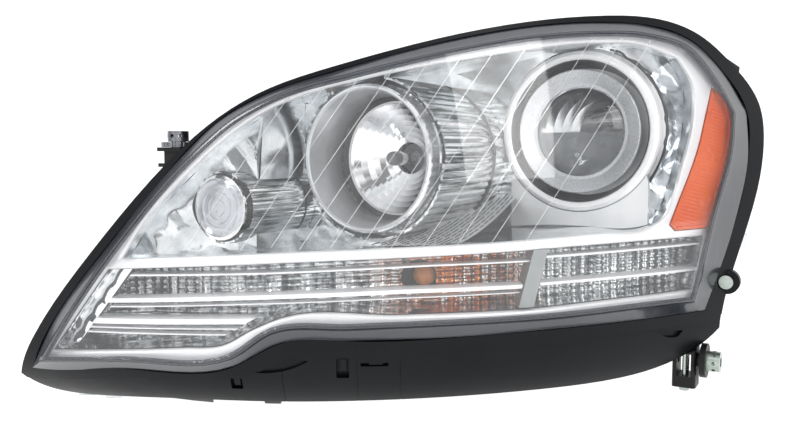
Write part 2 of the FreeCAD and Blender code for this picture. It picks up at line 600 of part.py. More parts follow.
dome = Part.makeSphere(60.0, vec(*along_y(LOW, 56.5))).common(cyl(38.5, along_y(LOW, -10), along_y(LOW, 10)))
lens = dome.fuse(cyl(LENS_R, along_y(LOW, 10), along_y(LOW, 13)))
save("projector_lens", lens)
save("lens_holder", turned([
    (39.3, 8.6), (42, 8), (53, 1.5), (54, 2.5), (54, 6), (46, 15), (46, LB_PLATE - 4), (56, LB_PLATE - 4),
    (56, LB_PLATE), (43.5, LB_PLATE), (43.5, 15), (LENS_R, 13), (LENS_R, 10), (39.3, 10)], LOW))
shade = cyl(48, along_y(LOW, LB_PLATE), along_y(LOW, LB_PLATE + 1.5))
shade = shade.common(box(LB_X - 60, LB_X + 60, LB_Y, LB_Y + 60, LB_Z - 60, LB_Z))
save("cutoff_shade", shade)

# ---------------------------------------------------------------- carrier, pivot, aiming screws
plate_y = LB_Y + LB_PLATE
lug_y = HB_Y + HB_PLATE
carrier = soften(box(191, 229, plate_y, plate_y + 4, -86, 73), 6, Y_AXIS)
carrier = carrier.fuse(box(200, 286, plate_y, plate_y + 4, -52, 69))
carrier = carrier.fuse(cyl(62, (LB_X, plate_y, LB_Z), (LB_X, plate_y + 4, LB_Z)))
carrier = carrier.fuse(cyl(9.5, (PAN_X, plate_y, PZ), (PAN_X, plate_y + 4, PZ)))
carrier = carrier.cut(cyl(48, LOW, along_y(LOW, 60)))
carrier = carrier.cut(box(PX - 10.5, PX + 10.5, plate_y - 1, plate_y + 5, PZ - 16, PZ + 20))
carrier = carrier.fuse(cyl(59, (HB_X, lug_y, HB_Z), (HB_X, lug_y + 4, HB_Z)))
carrier = carrier.fuse(box(191, 194, lug_y, plate_y + 4, -30, 1))
carrier = carrier.cut(cyl(16.5, along_y(HB, 80), along_y(HB, 100)))
for side in (-1, 1):
    x0, x1 = sorted((PX + side * 10.5, PX + side * 15))
    carrier = carrier.fuse(box(x0, x1, plate_y + 3, PY + 7, PZ - 7, PZ + 7))
    carrier = carrier.fuse(cyl(2.5, (PX + side * 3.6, PY, PZ), (PX + side * 10.5, PY, PZ)))
BALL_R = 5.0
for centre in (TILT, PAN):
    cup = cyl(9, (centre[0], plate_y + 3, centre[2]), (centre[0], PY + 3.6, centre[2]))
    carrier = carrier.fuse(cup)
for centre in (TILT, PAN):
    carrier = carrier.cut(Part.makeSphere(BALL_R + 0.25, vec(*centre)))
    carrier = carrier.cut(cyl(4.6, centre, along_y(centre, 12)))
save("carrier_frame", biggest(carrier))
save("high_beam_clip_pin", clip_lugs(HB, HB_SEAT, HB_PLATE + 4))
save("low_beam_clip_pin", clip_lugs(LOW, LB_SEAT, LB_SEAT))

block = soften(box(PX - 10, PX + 10, PY - 7, PY + 7, PZ - 9, PZ + 9), 2, Z_AXIS)
block = block.cut(cyl(2.5 + RUN, (PX - 11, PY, PZ), (PX - 3.2, PY, PZ)))
block = block.cut(cyl(2.5 + RUN, (PX + 3.2, PY, PZ), (PX + 11, PY, PZ)))
block = block.cut(cyl(2.5 + RUN, (PX, PY, PZ - 10), (PX, PY, PZ - 3.2)))
block = block.cut(cyl(2.5 + RUN, (PX, PY, PZ + 3.2), (PX, PY, PZ + 10)))
save("pivot_block", block)
post = box(PX - 5, PX + 5, PY + 9, PY + 13, PZ - 13, PZ + 13)
for side in (-1, 1):
    z0, z1 = sorted((PZ + side * 9.5, PZ + side * 13))
    post = post.fuse(box(PX - 5, PX + 5, PY - 5, PY + 13, z0, z1))
    post = post.fuse(cyl(2.5, (PX, PY, PZ + side * 3.6), (PX, PY, PZ + side * 9.5)))
post = post.fuse(cyl(5.0, (PX, PY + 13, PZ), (PX, LB_WALL_Y - WALL, PZ)))
save("pivot_post", post)

for name, centre in (("tilt", TILT), ("pan", PAN)):
    end = (centre[0], LB_WALL_Y + 22, centre[2])
    stud = Part.makeSphere(BALL_R, vec(*centre)).fuse(cyl(STUD_R, along_y(centre, 3), end))
    drive = hex_prism(5.0, along_y(end, -1), along_y(end, 4))
    stud = stud.fuse(drive.common(cyl(2.8, along_y(end, -2), along_y(end, 5))))
    save(name + "_stud", stud)
    seat = (centre[0], LB_WALL_Y + 0.3, centre[2])
    knob = cyl(10.5, seat, along_y(seat, 12))
    knob = knob.fuse(cyl(7, along_y(seat, 12), along_y(seat, 14)))
    groove = cyl(1.6, (seat[0] + 11.2, seat[1] - 1, seat[2]), (seat[0] + 11.2, seat[1] + 13, seat[2]))
    knob = knob.cut(ring_of(groove, seat, Y_AXIS, 12))
    knob = knob.cut(cyl(STUD_R + RUN, along_y(seat, -1), along_y(seat, 16)))
    save(name + "_knob", knob)

# ---------------------------------------------------------------- caps, sockets, connector
TWIST = 40.0


def service_cap(centre, radius):
    skirt_r = radius + 4.5
    cap = turned([
        (0, 15), (0, 18.5), (skirt_r - 1.5, 18.5), (skirt_r, 17), (skirt_r, 2), (radius + RUN, 2),
        (radius + RUN, 14.8), (radius - 4, 14.8), (radius - 4, 15)], centre)
    for angle in (90, 210, 330):
        notch = Part.makeCylinder(radius + 8, 7.5, vec(*along_y(centre, 1.5)), Y_AXIS, 10 + TWIST + 1)
        notch = notch.cut(cyl(radius - 3, along_y(centre, 0), along_y(centre, 12)))
        notch.rotate(vec(*centre), Y_AXIS, angle - 0.5)
        cap = cap.cut(notch)
    x, y, z = centre
    bar = soften(box(x - radius * 0.8, x + radius * 0.8, y + 17, y + 27, z - 5, z + 5), 2, Y_AXIS)
    ribs = ring_of(cyl(1.4, (x + skirt_r, y + 9.5, z), (x + skirt_r, y + 17, z)), centre, Y_AXIS, 30)
    return cap.cut(ribs).fuse(bar)


for name, centre, radius in (("low_beam_cap", LB_CAP, LB_COLLAR), ("high_beam_cap", HB_CAP, HB_COLLAR)):
    save(name, service_cap(centre, radius))
seals = []
for centre, radius in ((LB_CAP, LB_COLLAR), (HB_CAP, HB_COLLAR)):
    seals.append(tube(radius, radius - WALL, along_y(centre, 14), along_y(centre, 14.6)))
save("cap_seals", group(seals))


def socket(centre, radius):
    """Twist-in bulb socket: plug body, flange with a grip and a plug shroud."""
    body = cyl(radius - RUN, along_y(centre, -12), along_y(centre, 0.3))
    body = body.fuse(cyl(radius + 3.5, along_y(centre, 0.3), along_y(centre, 3.5)))
    x, y, z = along_y(centre, 3.5)
    half = radius * 0.62
    shroud = soften(box(x - half, x + half, y, y + 14, z - 5, z + 5), 1.5, Y_AXIS)
    shroud = shroud.cut(box(x - half + 1.5, x + half - 1.5, y + 3, y + 15, z - 3.5, z + 3.5))
    wing = box(x - radius - 2, x + radius + 2, y, y + 5, z - 1.5, z + 1.5)
    return body.fuse([shroud, wing])


def small_bulb(centre, reach, radius):
    """Capless bulb: glass ball on a flat stem."""
    glass = Part.makeSphere(radius, vec(*along_y(centre, -reach)))
    return glass.fuse(cyl(radius * 0.62, along_y(centre, -reach), along_y(centre, -12)))


save("turn_socket", socket(TURN, TURN_R))
save("turn_bulb", small_bulb(TURN, 48, 10))
save("position_socket", socket(POSL, POSL_R).fuse(tube(8, 5, along_y(POSL, -70), along_y(POSL, -12))))
save("position_bulb", small_bulb(POSL, 82, 4.8).common(cyl(4.8, along_y(POSL, -90), along_y(POSL, -68))))
save("marker_socket", to_car(socket(MARK, MARK_R).fuse(cyl(5, along_y(MARK, -60), along_y(MARK, -12)))))
marker_glass = small_bulb(MARK, 72, 4.8).common(cyl(4.8, along_y(MARK, -80), along_y(MARK, -60)))
save("marker_bulb", to_car(marker_glass))

cx, cy, cz = 308.0, LB_WALL_Y, -66.0
inlet = soften(box(cx - 20, cx + 20, cy, cy + 20, cz - 12, cz + 12), 3, Y_AXIS)
inlet = inlet.cut(soften(box(cx - 17.5, cx + 17.5, cy + 3, cy + 21, cz - 9.5, cz + 9.5), 2, Y_AXIS))
for i in range(6):
    for side in (-4, 4):
        px = cx - 13.5 + 5.4 * i
        inlet = inlet.fuse(box(px - 0.9, px + 0.9, cy + 2, cy + 14, cz + side - 0.4, cz + side + 0.4))
save("main_connector", inlet)

vents = []
for centre in ((100.0, HB_WALL_Y, -70.0), (236.0, LB_WALL_Y, 69.0)):
    cap = turned([(0, 0), (4, 0), (4, 5), (7.5, 5), (7.5, 9), (6.5, 10), (0, 10)], centre)
    vents.append(cap)
save("vents", group(vents))
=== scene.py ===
import math
import random

import bmesh
import bpy
import numpy as np
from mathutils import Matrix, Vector
from mathutils.geometry import delaunay_2d_cdt


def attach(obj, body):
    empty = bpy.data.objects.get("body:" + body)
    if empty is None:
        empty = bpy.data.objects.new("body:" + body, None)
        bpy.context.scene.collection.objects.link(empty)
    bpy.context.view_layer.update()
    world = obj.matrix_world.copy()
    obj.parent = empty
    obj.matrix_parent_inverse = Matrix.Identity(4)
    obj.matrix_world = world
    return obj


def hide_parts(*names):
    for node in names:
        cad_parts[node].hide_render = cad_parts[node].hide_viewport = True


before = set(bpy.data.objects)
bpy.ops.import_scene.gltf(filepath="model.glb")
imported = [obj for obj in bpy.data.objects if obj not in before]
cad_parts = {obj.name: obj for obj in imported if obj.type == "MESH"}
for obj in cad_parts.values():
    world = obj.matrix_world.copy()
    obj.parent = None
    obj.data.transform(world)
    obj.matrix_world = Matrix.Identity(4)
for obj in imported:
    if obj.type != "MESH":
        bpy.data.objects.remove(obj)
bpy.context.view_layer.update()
random.seed(7)

# ------------------------------------------------------------------ dimensions, millimetres
# Lens frame: S to the outer side, W back into the lamp, Z up; it is the car frame turned 30 degrees.
MM = 0.001
SWEEP = math.radians(30)
BOWL = (120.0, 688.0, -95.0)
BOWL_R = 750.0
SHARP = math.radians(38)

HB = (138.0, 66.0, -14.5)
LB = (268.8, 204.0, 8.8)
POS = (53.0, -13.3, -52.1)
TURN = (165.0, 108.0, -113.0)

OUTLINE = [
    (-112, -179, -127, -189), (-86, -142, -102, -146), (-35, -76, -47, -79), (19, -15, 9, -15),
    (53, 15, 42, 16), (88, 34, 78, 36), (143, 50, 133, 54), (219, 69, 219, 78),
    (299, 84, 303, 94), (342, 88, 347, 98), (388, 88, 390, 98), (425, 79, 435, 87),
    (449, 56, 466, 62), (470, 25, 491, 28), (466, -6, 491, -14), (447, -62, 477, -66),
    (428, -134, 446, -146), (385, -135, 391, -148), (299, -139, 301, -151), (219, -141, 220, -154),
    (143, -143, 142, -155), (84, -146, 88, -157), (51, -167, 50, -177), (-40, -173, -48, -183),
    (-100, -178, -112, -189),
]
FRONT = [(row[0], row[1]) for row in OUTLINE]
REAR = [(row[2], row[3]) for row in OUTLINE]
UPPER = [
    (-37, -92), (-15, -60), (12, -31), (46, 0), (80, 23), (118, 38), (166, 50), (220, 61),
    (276, 71), (344, 80), (384, 80), (418, 70), (430, 50), (430, 20), (418, -20), (396, -66),
    (384, -72), (341, -74), (259, -79), (181, -82), (105, -85), (27, -89),
]
LOWER = [
    (-104, -171), (-50, -101), (27, -97), (105, -93), (181, -90), (259, -87), (342, -83),
    (441, -80), (433, -126), (388, -128), (343, -130), (292, -133), (181, -135), (90, -137),
    (68, -146), (42, -160), (9, -163), (-59, -168),
]
AMBER = [
    (450, 46), (465, 36), (470, 14), (466, -7), (460, -24), (452, -50), (443, -73), (410, -74),
    (405, -69), (414, -49), (424, -28), (433, -7), (441, 18),
]
ROOM_B = (72.0, 210.0, 76.0)
ROOM_C = (150.0, 362.0, 213.0)


# ------------------------------------------------------------------ geometry helpers
def car(s, w, z):
    c, n = math.cos(SWEEP), math.sin(SWEEP)
    return Vector(((s * c - w * n) * MM, (s * n + w * c) * MM, z * MM))


def bowl_w(s, z, depth):
    r = BOWL_R - depth
    return BOWL[1] - math.sqrt(max(r * r - (s - BOWL[0]) ** 2 - (z - BOWL[2]) ** 2, 1.0))


def on_bowl(s, z, depth):
    return car(s, bowl_w(s, z, depth), z)


def bowl_y(x, z, depth):
    """Y of the point above (x, z) that lies at a depth behind the cover's front, car frame."""
    cx = BOWL[0] * math.cos(SWEEP) - BOWL[1] * math.sin(SWEEP)
    cy = BOWL[0] * math.sin(SWEEP) + BOWL[1] * math.cos(SWEEP)
    r = BOWL_R - depth
    return cy - math.sqrt(max(r * r - (x - cx) ** 2 - (z - BOWL[2]) ** 2, 1.0))


def to_lens(x, y):
    c, n = math.cos(SWEEP), math.sin(SWEEP)
    return x * c + y * n, -x * n + y * c


def sharp_corners(points):
    flags = []
    for i in range(len(points)):
        a = Vector(points[i]) - Vector(points[i - 1])
        b = Vector(points[(i + 1) % len(points)]) - Vector(points[i])
        flags.append(a.angle(b) > SHARP)
    return flags


def smooth_loop(points, sharp=None, per=8):
    """Closed outline through the points: smooth runs between the sharp corners."""
    sharp = sharp or sharp_corners(points)
    pts = [Vector(p) for p in points]
    count = len(pts)
    loop = []
    for i in range(count):
        p1, p2 = pts[i], pts[(i + 1) % count]
        length = (p2 - p1).length
        straight = (p2 - p1) / length
        t1 = t2 = straight
        if not sharp[i]:
            before = p1 - pts[i - 1]
            t1 = (before / before.length * length + straight * before.length) / (length + before.length)
        if not sharp[(i + 1) % count]:
            after = pts[(i + 2) % count] - p2
            t2 = (straight * after.length + after / after.length * length) / (length + after.length)
        for k in range(per):
            t = k / per
            h = (2 * t**3 - 3 * t * t + 1, t**3 - 2 * t * t + t, 3 * t * t - 2 * t**3, t**3 - t * t)
            loop.append(tuple(p1 * h[0] + t1 * (h[1] * length) + p2 * h[2] + t2 * (h[3] * length)))
    return loop


def grow(loop, distance):
    """Moves a clockwise loop outward by a distance."""
    count = len(loop)
    out = []
    for i in range(count):
        a = Vector(loop[i]) - Vector(loop[i - 1])
        b = Vector(loop[(i + 1) % count]) - Vector(loop[i])
        a, b = a.normalized(), b.normalized()
        n1, n2 = Vector((-a.y, a.x)), Vector((-b.y, b.x))
        scale = distance / max(1.0 + n1.dot(n2), 0.35)
        out.append((loop[i][0] + (n1.x + n2.x) * scale, loop[i][1] + (n1.y + n2.y) * scale))
    return out


def inside(points, loop):
    """Which of the points (an N by 2 array) lie inside a loop."""
    x, y = points[:, 0], points[:, 1]
    odd = np.zeros(len(points), bool)
    for i in range(len(loop)):
        (x0, y0), (x1, y1) = loop[i - 1], loop[i]
        if y0 == y1:
            continue
        odd ^= ((y0 > y) != (y1 > y)) & (x < (x1 - x0) * (y - y0) / (y1 - y0) + x0)
    return odd


def clear_of(points, loop, gap):
    """Which of the points are further than a gap from every corner of a loop."""
    corners = np.array(loop)
    keep = np.ones(len(points), bool)
    for corner in corners:
        keep &= ((points - corner) ** 2).sum(1) > gap * gap
    return keep


def flat_mesh(loop, holes=(), step=6.0):
    """Triangles that fill a loop round its holes: (list of 2-D points, faces)."""
    loops = [loop, *holes]
    xs = [p[0] for p in loop]
    ys = [p[1] for p in loop]
    grid_x, grid_y = np.meshgrid(np.arange(min(xs), max(xs), step), np.arange(min(ys), max(ys), step))
    grid = np.stack([grid_x.ravel(), grid_y.ravel()], 1)
    grid = grid[inside(grid, loop)]
    for hole in holes:
        grid = grid[~inside(grid, hole)]
    for one in loops:
        grid = grid[clear_of(grid, one, step * 0.55)]
    verts, edges = [], []
    for one in loops:
        start = len(verts)
        verts += [Vector(p) for p in one]
        edges += [(start + i, start + (i + 1) % len(one)) for i in range(len(one))]
    verts += [Vector(p) for p in grid]
    made, _, faces, _, _, _ = delaunay_2d_cdt(verts, edges, [], 0, 1e-5)
    made_points = np.array([tuple(v) for v in made])
    centres = np.array([made_points[list(f)].mean(0) for f in faces])
    good = inside(centres, loop)
    for hole in holes:
        good &= ~inside(centres, hole)
    return [tuple(v) for v in made], [f for f, ok in zip(faces, good) if ok]


class Builder:
    """Collects vertices and faces of one piece."""

    def __init__(self):
        self.verts, self.faces = [], []

    def add(self, verts, faces, flip=False):
        base = len(self.verts)
        self.verts += [Vector(v) for v in verts]
        for face in faces:
            face = [base + i for i in face]
            self.faces.append(face[::-1] if flip else face)

    def skin(self, rows, closed=True, flip=False):
        """Quads between neighbouring rows of points."""
        n = len(rows[0])
        verts = [p for row in rows for p in row]
        faces = []
        for r in range(len(rows) - 1):
            for i in range(n if closed else n - 1):
                j = (i + 1) % n
                faces.append((r * n + i, r * n + j, (r + 1) * n + j, (r + 1) * n + i))
        self.add(verts, faces, flip)

    def patch(self, loop, lift, holes=(), step=6.0, flip=False):
        points, faces = flat_mesh(loop, holes, step)
        self.add([lift(*p) for p in points], faces, flip)

    def keep(self, test):
        """Drops the faces whose centre (millimetres, car frame) fails a test."""
        def centre(face):
            total = Vector((0, 0, 0))
            for i in face:
                total += self.verts[i]
            return total / (len(face) * MM)

        self.faces = [face for face in self.faces if test(*centre(face))]

    def block(self, corners, near, far):
        """Solid bar with a lens-frame outline between two lifted surfaces."""
        n = len(corners)
        front = [near(*p) for p in corners]
        back = [far(*p) for p in corners]
        self.add(front + back, [tuple(range(n)), tuple(range(2 * n - 1, n - 1, -1))]
                 + [(i, n + i, n + (i + 1) % n, (i + 1) % n) for i in range(n)])

    def mesh(self, name, material, body="lamp", slot=None, replaces=(), smooth=40, merge=1e-5):
        data = bpy.data.meshes.new(name)
        data.from_pydata(self.verts, [], self.faces)
        obj = bpy.data.objects.new(name, data)
        bpy.context.scene.collection.objects.link(obj)
        tidy_mesh(data, merge, smooth)
        data.materials.append(material)
        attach(obj, body)
        if replaces:
            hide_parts(*replaces)
        return obj


def tidy_mesh(data, merge, smooth):
    """Welds, drops slivers, turns the normals outward and marks the creases."""
    bm = bmesh.new()
    bm.from_mesh(data)
    bmesh.ops.delete(bm, geom=[v for v in bm.verts if not v.link_faces], context="VERTS")
    bmesh.ops.remove_doubles(bm, verts=bm.verts, dist=merge)
    bmesh.ops.dissolve_degenerate(bm, edges=bm.edges, dist=1e-6)
    bmesh.ops.recalc_face_normals(bm, faces=bm.faces)
    for face in bm.faces:
        face.smooth = True
    limit = math.radians(smooth)
    for edge in bm.edges:
        if len(edge.link_faces) == 2:
            edge.smooth = edge.calc_face_angle(0.0) < limit
    bm.to_mesh(data)
    bm.free()


def lathe(builder, profile, centre, segments=128, start=0.0, end=360.0, shape=None):
    """Revolves (radius, distance back) round a line along car Y through a centre."""
    closed = abs(end - start - 360.0) < 1e-6
    count = segments if closed else segments + 1
    rows = []
    for k in range(len(profile)):
        row = []
        for i in range(count):
            a = math.radians(start + (end - start) * i / segments)
            r, t = profile[k]
            if shape:
                r, t = shape(r, t, a, k)
            row.append(Vector((centre[0] + r * math.sin(a), centre[1] + t, centre[2] + r * math.cos(a))) * MM)
        rows.append(row)
    builder.skin(rows, closed)


# ------------------------------------------------------------------ materials
def new_material(name):
    mat = bpy.data.materials.new(name)
    mat.use_nodes = True
    nodes = mat.node_tree.nodes
    nodes.clear()
    out = nodes.new("ShaderNodeOutputMaterial")
    return mat, mat.node_tree, out


def coords(tree, scale=(1, 1, 1), turn=(0, 0, 0)):
    tex = tree.nodes.new("ShaderNodeTexCoord")
    mapping = tree.nodes.new("ShaderNodeMapping")
    mapping.inputs["Scale"].default_value = scale
    mapping.inputs["Rotation"].default_value = turn
    tree.links.new(tex.outputs["Object"], mapping.inputs["Vector"])
    return mapping.outputs["Vector"]


def noise(tree, vector, scale, detail=3.0, rough=0.5):
    node = tree.nodes.new("ShaderNodeTexNoise")
    node.inputs["Scale"].default_value = scale
    node.inputs["Detail"].default_value = detail
    node.inputs["Roughness"].default_value = rough
    tree.links.new(vector, node.inputs["Vector"])
    return node.outputs["Fac"]


def ramp(tree, value, stops):
    node = tree.nodes.new("ShaderNodeValToRGB")
    elements = node.color_ramp.elements
    while len(elements) < len(stops):
        elements.new(0.5)
    for element, (place, colour) in zip(elements, stops):
        element.position = place
        element.color = (*colour, 1) if len(colour) == 3 else colour
    tree.links.new(value, node.inputs["Fac"])
    return node.outputs["Color"]


def span(tree, value, low, high, from_low=0.0, from_high=1.0):
    node = tree.nodes.new("ShaderNodeMapRange")
    node.inputs["From Min"].default_value = from_low
    node.inputs["From Max"].default_value = from_high
    node.inputs["To Min"].default_value = low
    node.inputs["To Max"].default_value = high
    tree.links.new(value, node.inputs["Value"])
    return node.outputs["Result"]


def bump(tree, height, strength, distance, normal=None):
    node = tree.nodes.new("ShaderNodeBump")
    node.inputs["Strength"].default_value = strength
    node.inputs["Distance"].default_value = distance
    tree.links.new(height, node.inputs["Height"])
    if normal is not None:
        tree.links.new(normal, node.inputs["Normal"])
    return node.outputs["Normal"]


def surface(name, colour, colour2=None, metallic=0.0, rough=(0.3, 0.4), grain=900.0, grain_depth=0.00003,
            broad=12.0, grain_strength=0.3, specular=0.5, coat=0.0, wave=None, turn=(0, 0, 0)):
    """Principled surface with colour drift, uneven gloss and a fine grain."""
    mat, tree, out = new_material(name)
    shader = tree.nodes.new("ShaderNodeBsdfPrincipled")
    vector = coords(tree, turn=turn)
    drift = noise(tree, vector, broad, 4.0, 0.6)
    colour2 = colour2 or tuple(c * 0.86 for c in colour)
    tree.links.new(ramp(tree, drift, [(0.3, colour2), (0.7, colour)]), shader.inputs["Base Color"])
    tree.links.new(span(tree, noise(tree, vector, broad * 3.1, 5.0, 0.6), rough[0], rough[1], 0.3, 0.7),
                   shader.inputs["Roughness"])
    shader.inputs["Metallic"].default_value = metallic
    shader.inputs["Specular IOR Level"].default_value = specular
    if coat:
        shader.inputs["Coat Weight"].default_value = coat
        shader.inputs["Coat Roughness"].default_value = 0.06
    normal = bump(tree, noise(tree, vector, grain, 2.0, 0.5), grain_strength, grain_depth)
    if wave:
        scale, depth = wave
        normal = bump(tree, noise(tree, vector, scale, 1.0, 0.4), 0.6, depth, normal)
    tree.links.new(normal, shader.inputs["Normal"])
    tree.links.new(shader.outputs["BSDF"], out.inputs["Surface"])
    return mat


def clear(name, tint=(1, 1, 1), gloss=0.05, rough=0.02, edge=0.75, power=4.0, haze=0.0,
          haze_colour=(0.8, 0.82, 0.85), wave=None):
    """Clear moulding: mostly see-through, with gloss that grows towards its edges and a little haze."""
    mat, tree, out = new_material(name)
    through = tree.nodes.new("ShaderNodeBsdfTransparent")
    through.inputs["Color"].default_value = (*tint, 1)
    glossy = tree.nodes.new("ShaderNodeBsdfGlossy")
    glossy.inputs["Roughness"].default_value = rough
    glossy.inputs["Color"].default_value = (1, 1, 1, 1)
    weight = tree.nodes.new("ShaderNodeLayerWeight")
    weight.inputs["Blend"].default_value = 0.5
    raised = tree.nodes.new("ShaderNodeMath")
    raised.operation = "POWER"
    raised.inputs[1].default_value = power
    tree.links.new(weight.outputs["Facing"], raised.inputs[0])
    vector = coords(tree)
    if wave:
        normal = bump(tree, noise(tree, vector, wave[0], 1.0, 0.4), 0.5, wave[1])
        tree.links.new(normal, glossy.inputs["Normal"])
    mix = tree.nodes.new("ShaderNodeMixShader")
    tree.links.new(span(tree, raised.outputs[0], gloss, edge), mix.inputs["Fac"])
    first = through.outputs["BSDF"]
    if haze:
        cloudy = tree.nodes.new("ShaderNodeBsdfPrincipled")
        cloudy.inputs["Roughness"].default_value = 0.35
        drift = noise(tree, vector, 60.0, 4.0, 0.6)
        darker = tuple(c * 0.8 for c in haze_colour)
        tree.links.new(ramp(tree, drift, [(0.3, darker), (0.7, haze_colour)]), cloudy.inputs["Base Color"])
        inner = tree.nodes.new("ShaderNodeMixShader")
        tree.links.new(span(tree, drift, haze * 0.85, min(haze * 1.15, 1.0)), inner.inputs["Fac"])
        tree.links.new(first, inner.inputs[1])
        tree.links.new(cloudy.outputs["BSDF"], inner.inputs[2])
        first = inner.outputs["Shader"]
    tree.links.new(first, mix.inputs[1])
    tree.links.new(glossy.outputs["BSDF"], mix.inputs[2])
    tree.links.new(mix.outputs["Shader"], out.inputs["Surface"])
    return mat


BLACK = surface("moulded_black", (0.0085, 0.0095, 0.011), (0.005, 0.0055, 0.0065), rough=(0.30, 0.42),
                grain=1400, grain_depth=0.00005, broad=9, specular=0.16)
NYLON = surface("black_nylon", (0.012, 0.012, 0.013), (0.006, 0.006, 0.007), rough=(0.35, 0.55), grain=900,
                grain_depth=0.00006, broad=30, specular=0.25)
GREY_NYLON = surface("grey_nylon", (0.22, 0.23, 0.24), rough=(0.4, 0.55), grain=900, broad=30)
ACETAL = surface("white_acetal", (0.78, 0.78, 0.76), rough=(0.35, 0.5), grain=900, broad=30)
RUBBER = surface("seal_rubber", (0.03, 0.03, 0.032), rough=(0.6, 0.8), grain=700, grain_depth=0.0001,
                 broad=25)
ZINC = surface("zinc_plate", (0.55, 0.60, 0.56), (0.34, 0.40, 0.36), metallic=1.0, rough=(0.22, 0.42),
               grain=700, grain_depth=0.00004, broad=60)
NICKEL = surface("nickel_plate", (0.70, 0.70, 0.70), metallic=1.0, rough=(0.2, 0.35), grain=900, broad=60)
CHROME = surface("vacuum_chrome", (0.93, 0.94, 0.95), (0.86, 0.87, 0.89), metallic=1.0, rough=(0.04, 0.09),
                 grain=500, grain_depth=0.00001, broad=20, wave=(26.0, 0.0012))
FACET_CHROME = surface("facet_chrome", (0.90, 0.92, 0.93), (0.50, 0.53, 0.55), metallic=1.0,
                       rough=(0.07, 0.20), grain=500, grain_depth=0.00001, broad=30, wave=(16.0, 0.004))
DARK_STEEL = surface("dark_steel", (0.30, 0.31, 0.33), (0.12, 0.125, 0.135), metallic=1.0, rough=(0.2, 0.35),
                     grain=900, broad=50)
MIRROR = surface("mirror_film", (0.96, 0.96, 0.96), (0.9, 0.9, 0.91), metallic=1.0, rough=(0.05, 0.12),
                 grain=500, grain_depth=0.00001, broad=20)
SATIN = surface("satin_silver_paint", (0.86, 0.87, 0.88), (0.78, 0.79, 0.80), metallic=0.55,
                rough=(0.3, 0.42), grain=1500, grain_depth=0.00002, broad=15)
WHITE_SILVER = surface("bright_silver_paint", (0.93, 0.93, 0.94), (0.87, 0.87, 0.88), metallic=0.25,
                       rough=(0.28, 0.4), grain=1500, grain_depth=0.00002, broad=15)
SPARKLE = surface("flake_silver_paint", (0.78, 0.79, 0.80), (0.44, 0.45, 0.47), metallic=0.8,
                  rough=(0.25, 0.5), grain=2200, grain_depth=0.0001, broad=900, grain_strength=0.8)
BAR_GREY = surface("grey_bar_paint", (0.36, 0.38, 0.38), (0.28, 0.30, 0.30), metallic=0.5, rough=(0.3, 0.42),
                   grain=1500, grain_depth=0.00003, broad=25)
SHADE_STEEL = surface("shade_steel", (0.30, 0.31, 0.33), (0.16, 0.165, 0.175), metallic=0.9,
                      rough=(0.25, 0.4), grain=900, broad=25)
COVER_CLEAR = clear("clear_polycarbonate", gloss=0.03, edge=0.55, power=4.0, rough=0.03, haze=0.03,
                    haze_colour=(0.9, 0.92, 0.95))
COVER_EDGE = clear("frosted_polycarbonate", tint=(0.24, 0.26, 0.30), gloss=0.05, edge=0.38, power=3.0,
                   rough=0.12, haze=0.46, haze_colour=(0.055, 0.062, 0.080))
CLEAR_PART = clear("clear_moulding", tint=(0.93, 0.95, 0.97), gloss=0.08, edge=0.8, power=2.5, rough=0.03,
                   haze=0.16, wave=(60, 0.0006))
CLEAR_PUCK = clear("clear_lens_puck", tint=(0.95, 0.97, 1.0), gloss=0.14, edge=0.85, power=1.8, rough=0.04,
                   haze=0.40, haze_colour=(0.93, 0.95, 0.99))
CLEAR_LINE = clear("clear_rib", tint=(1, 1, 1), gloss=0.10, edge=0.7, power=2.5, rough=0.05, haze=0.5,
                   haze_colour=(0.95, 0.96, 0.98))
GLASS_BULB = clear("bulb_glass", tint=(0.96, 0.96, 0.96), gloss=0.08, edge=0.85, power=2.5, rough=0.01)


def amber_plastic():
    mat, tree, out = new_material("amber_reflex_plastic")
    shader = tree.nodes.new("ShaderNodeBsdfPrincipled")
    vector = coords(tree)
    drift = noise(tree, vector, 22.0, 3.0, 0.5)
    tree.links.new(ramp(tree, drift, [(0.3, (0.64, 0.085, 0.010)), (0.7, (0.74, 0.135, 0.022))]),
                   shader.inputs["Base Color"])
    tree.links.new(span(tree, noise(tree, vector, 70, 3), 0.16, 0.30, 0.3, 0.7), shader.inputs["Roughness"])
    shader.inputs["Specular IOR Level"].default_value = 0.4
    # Painted glow: a faint orange emission, though the side reflector is no lamp.
    shader.inputs["Emission Color"].default_value = (1.0, 0.14, 0.02, 1)
    shader.inputs["Emission Strength"].default_value = 0.05
    tree.links.new(shader.outputs["BSDF"], out.inputs["Surface"])
    return mat


def amber_glass():
    mat, tree, out = new_material("amber_bulb_glass")
    shader = tree.nodes.new("ShaderNodeBsdfPrincipled")
    drift = noise(tree, coords(tree), 120.0, 3.0, 0.5)
    tree.links.new(ramp(tree, drift, [(0.3, (0.75, 0.22, 0.02)), (0.7, (0.95, 0.36, 0.05))]),
                   shader.inputs["Base Color"])
    shader.inputs["Roughness"].default_value = 0.12
    shader.inputs["Coat Weight"].default_value = 0.5
    tree.links.new(shader.outputs["BSDF"], out.inputs["Surface"])
    return mat


def lens_glass():
    mat, tree, out = new_material("projector_glass")
    shader = tree.nodes.new("ShaderNodeBsdfPrincipled")
    drift = noise(tree, coords(tree), 40.0, 3.0, 0.5)
    tree.links.new(ramp(tree, drift, [(0.3, (0.93, 0.95, 0.96)), (0.7, (0.98, 0.98, 0.98))]),
                   shader.inputs["Base Color"])
    shader.inputs["Roughness"].default_value = 0.01
    shader.inputs["IOR"].default_value = 1.5
    shader.inputs["Transmission Weight"].default_value = 1.0
    tree.links.new(shader.outputs["BSDF"], out.inputs["Surface"])
    return mat


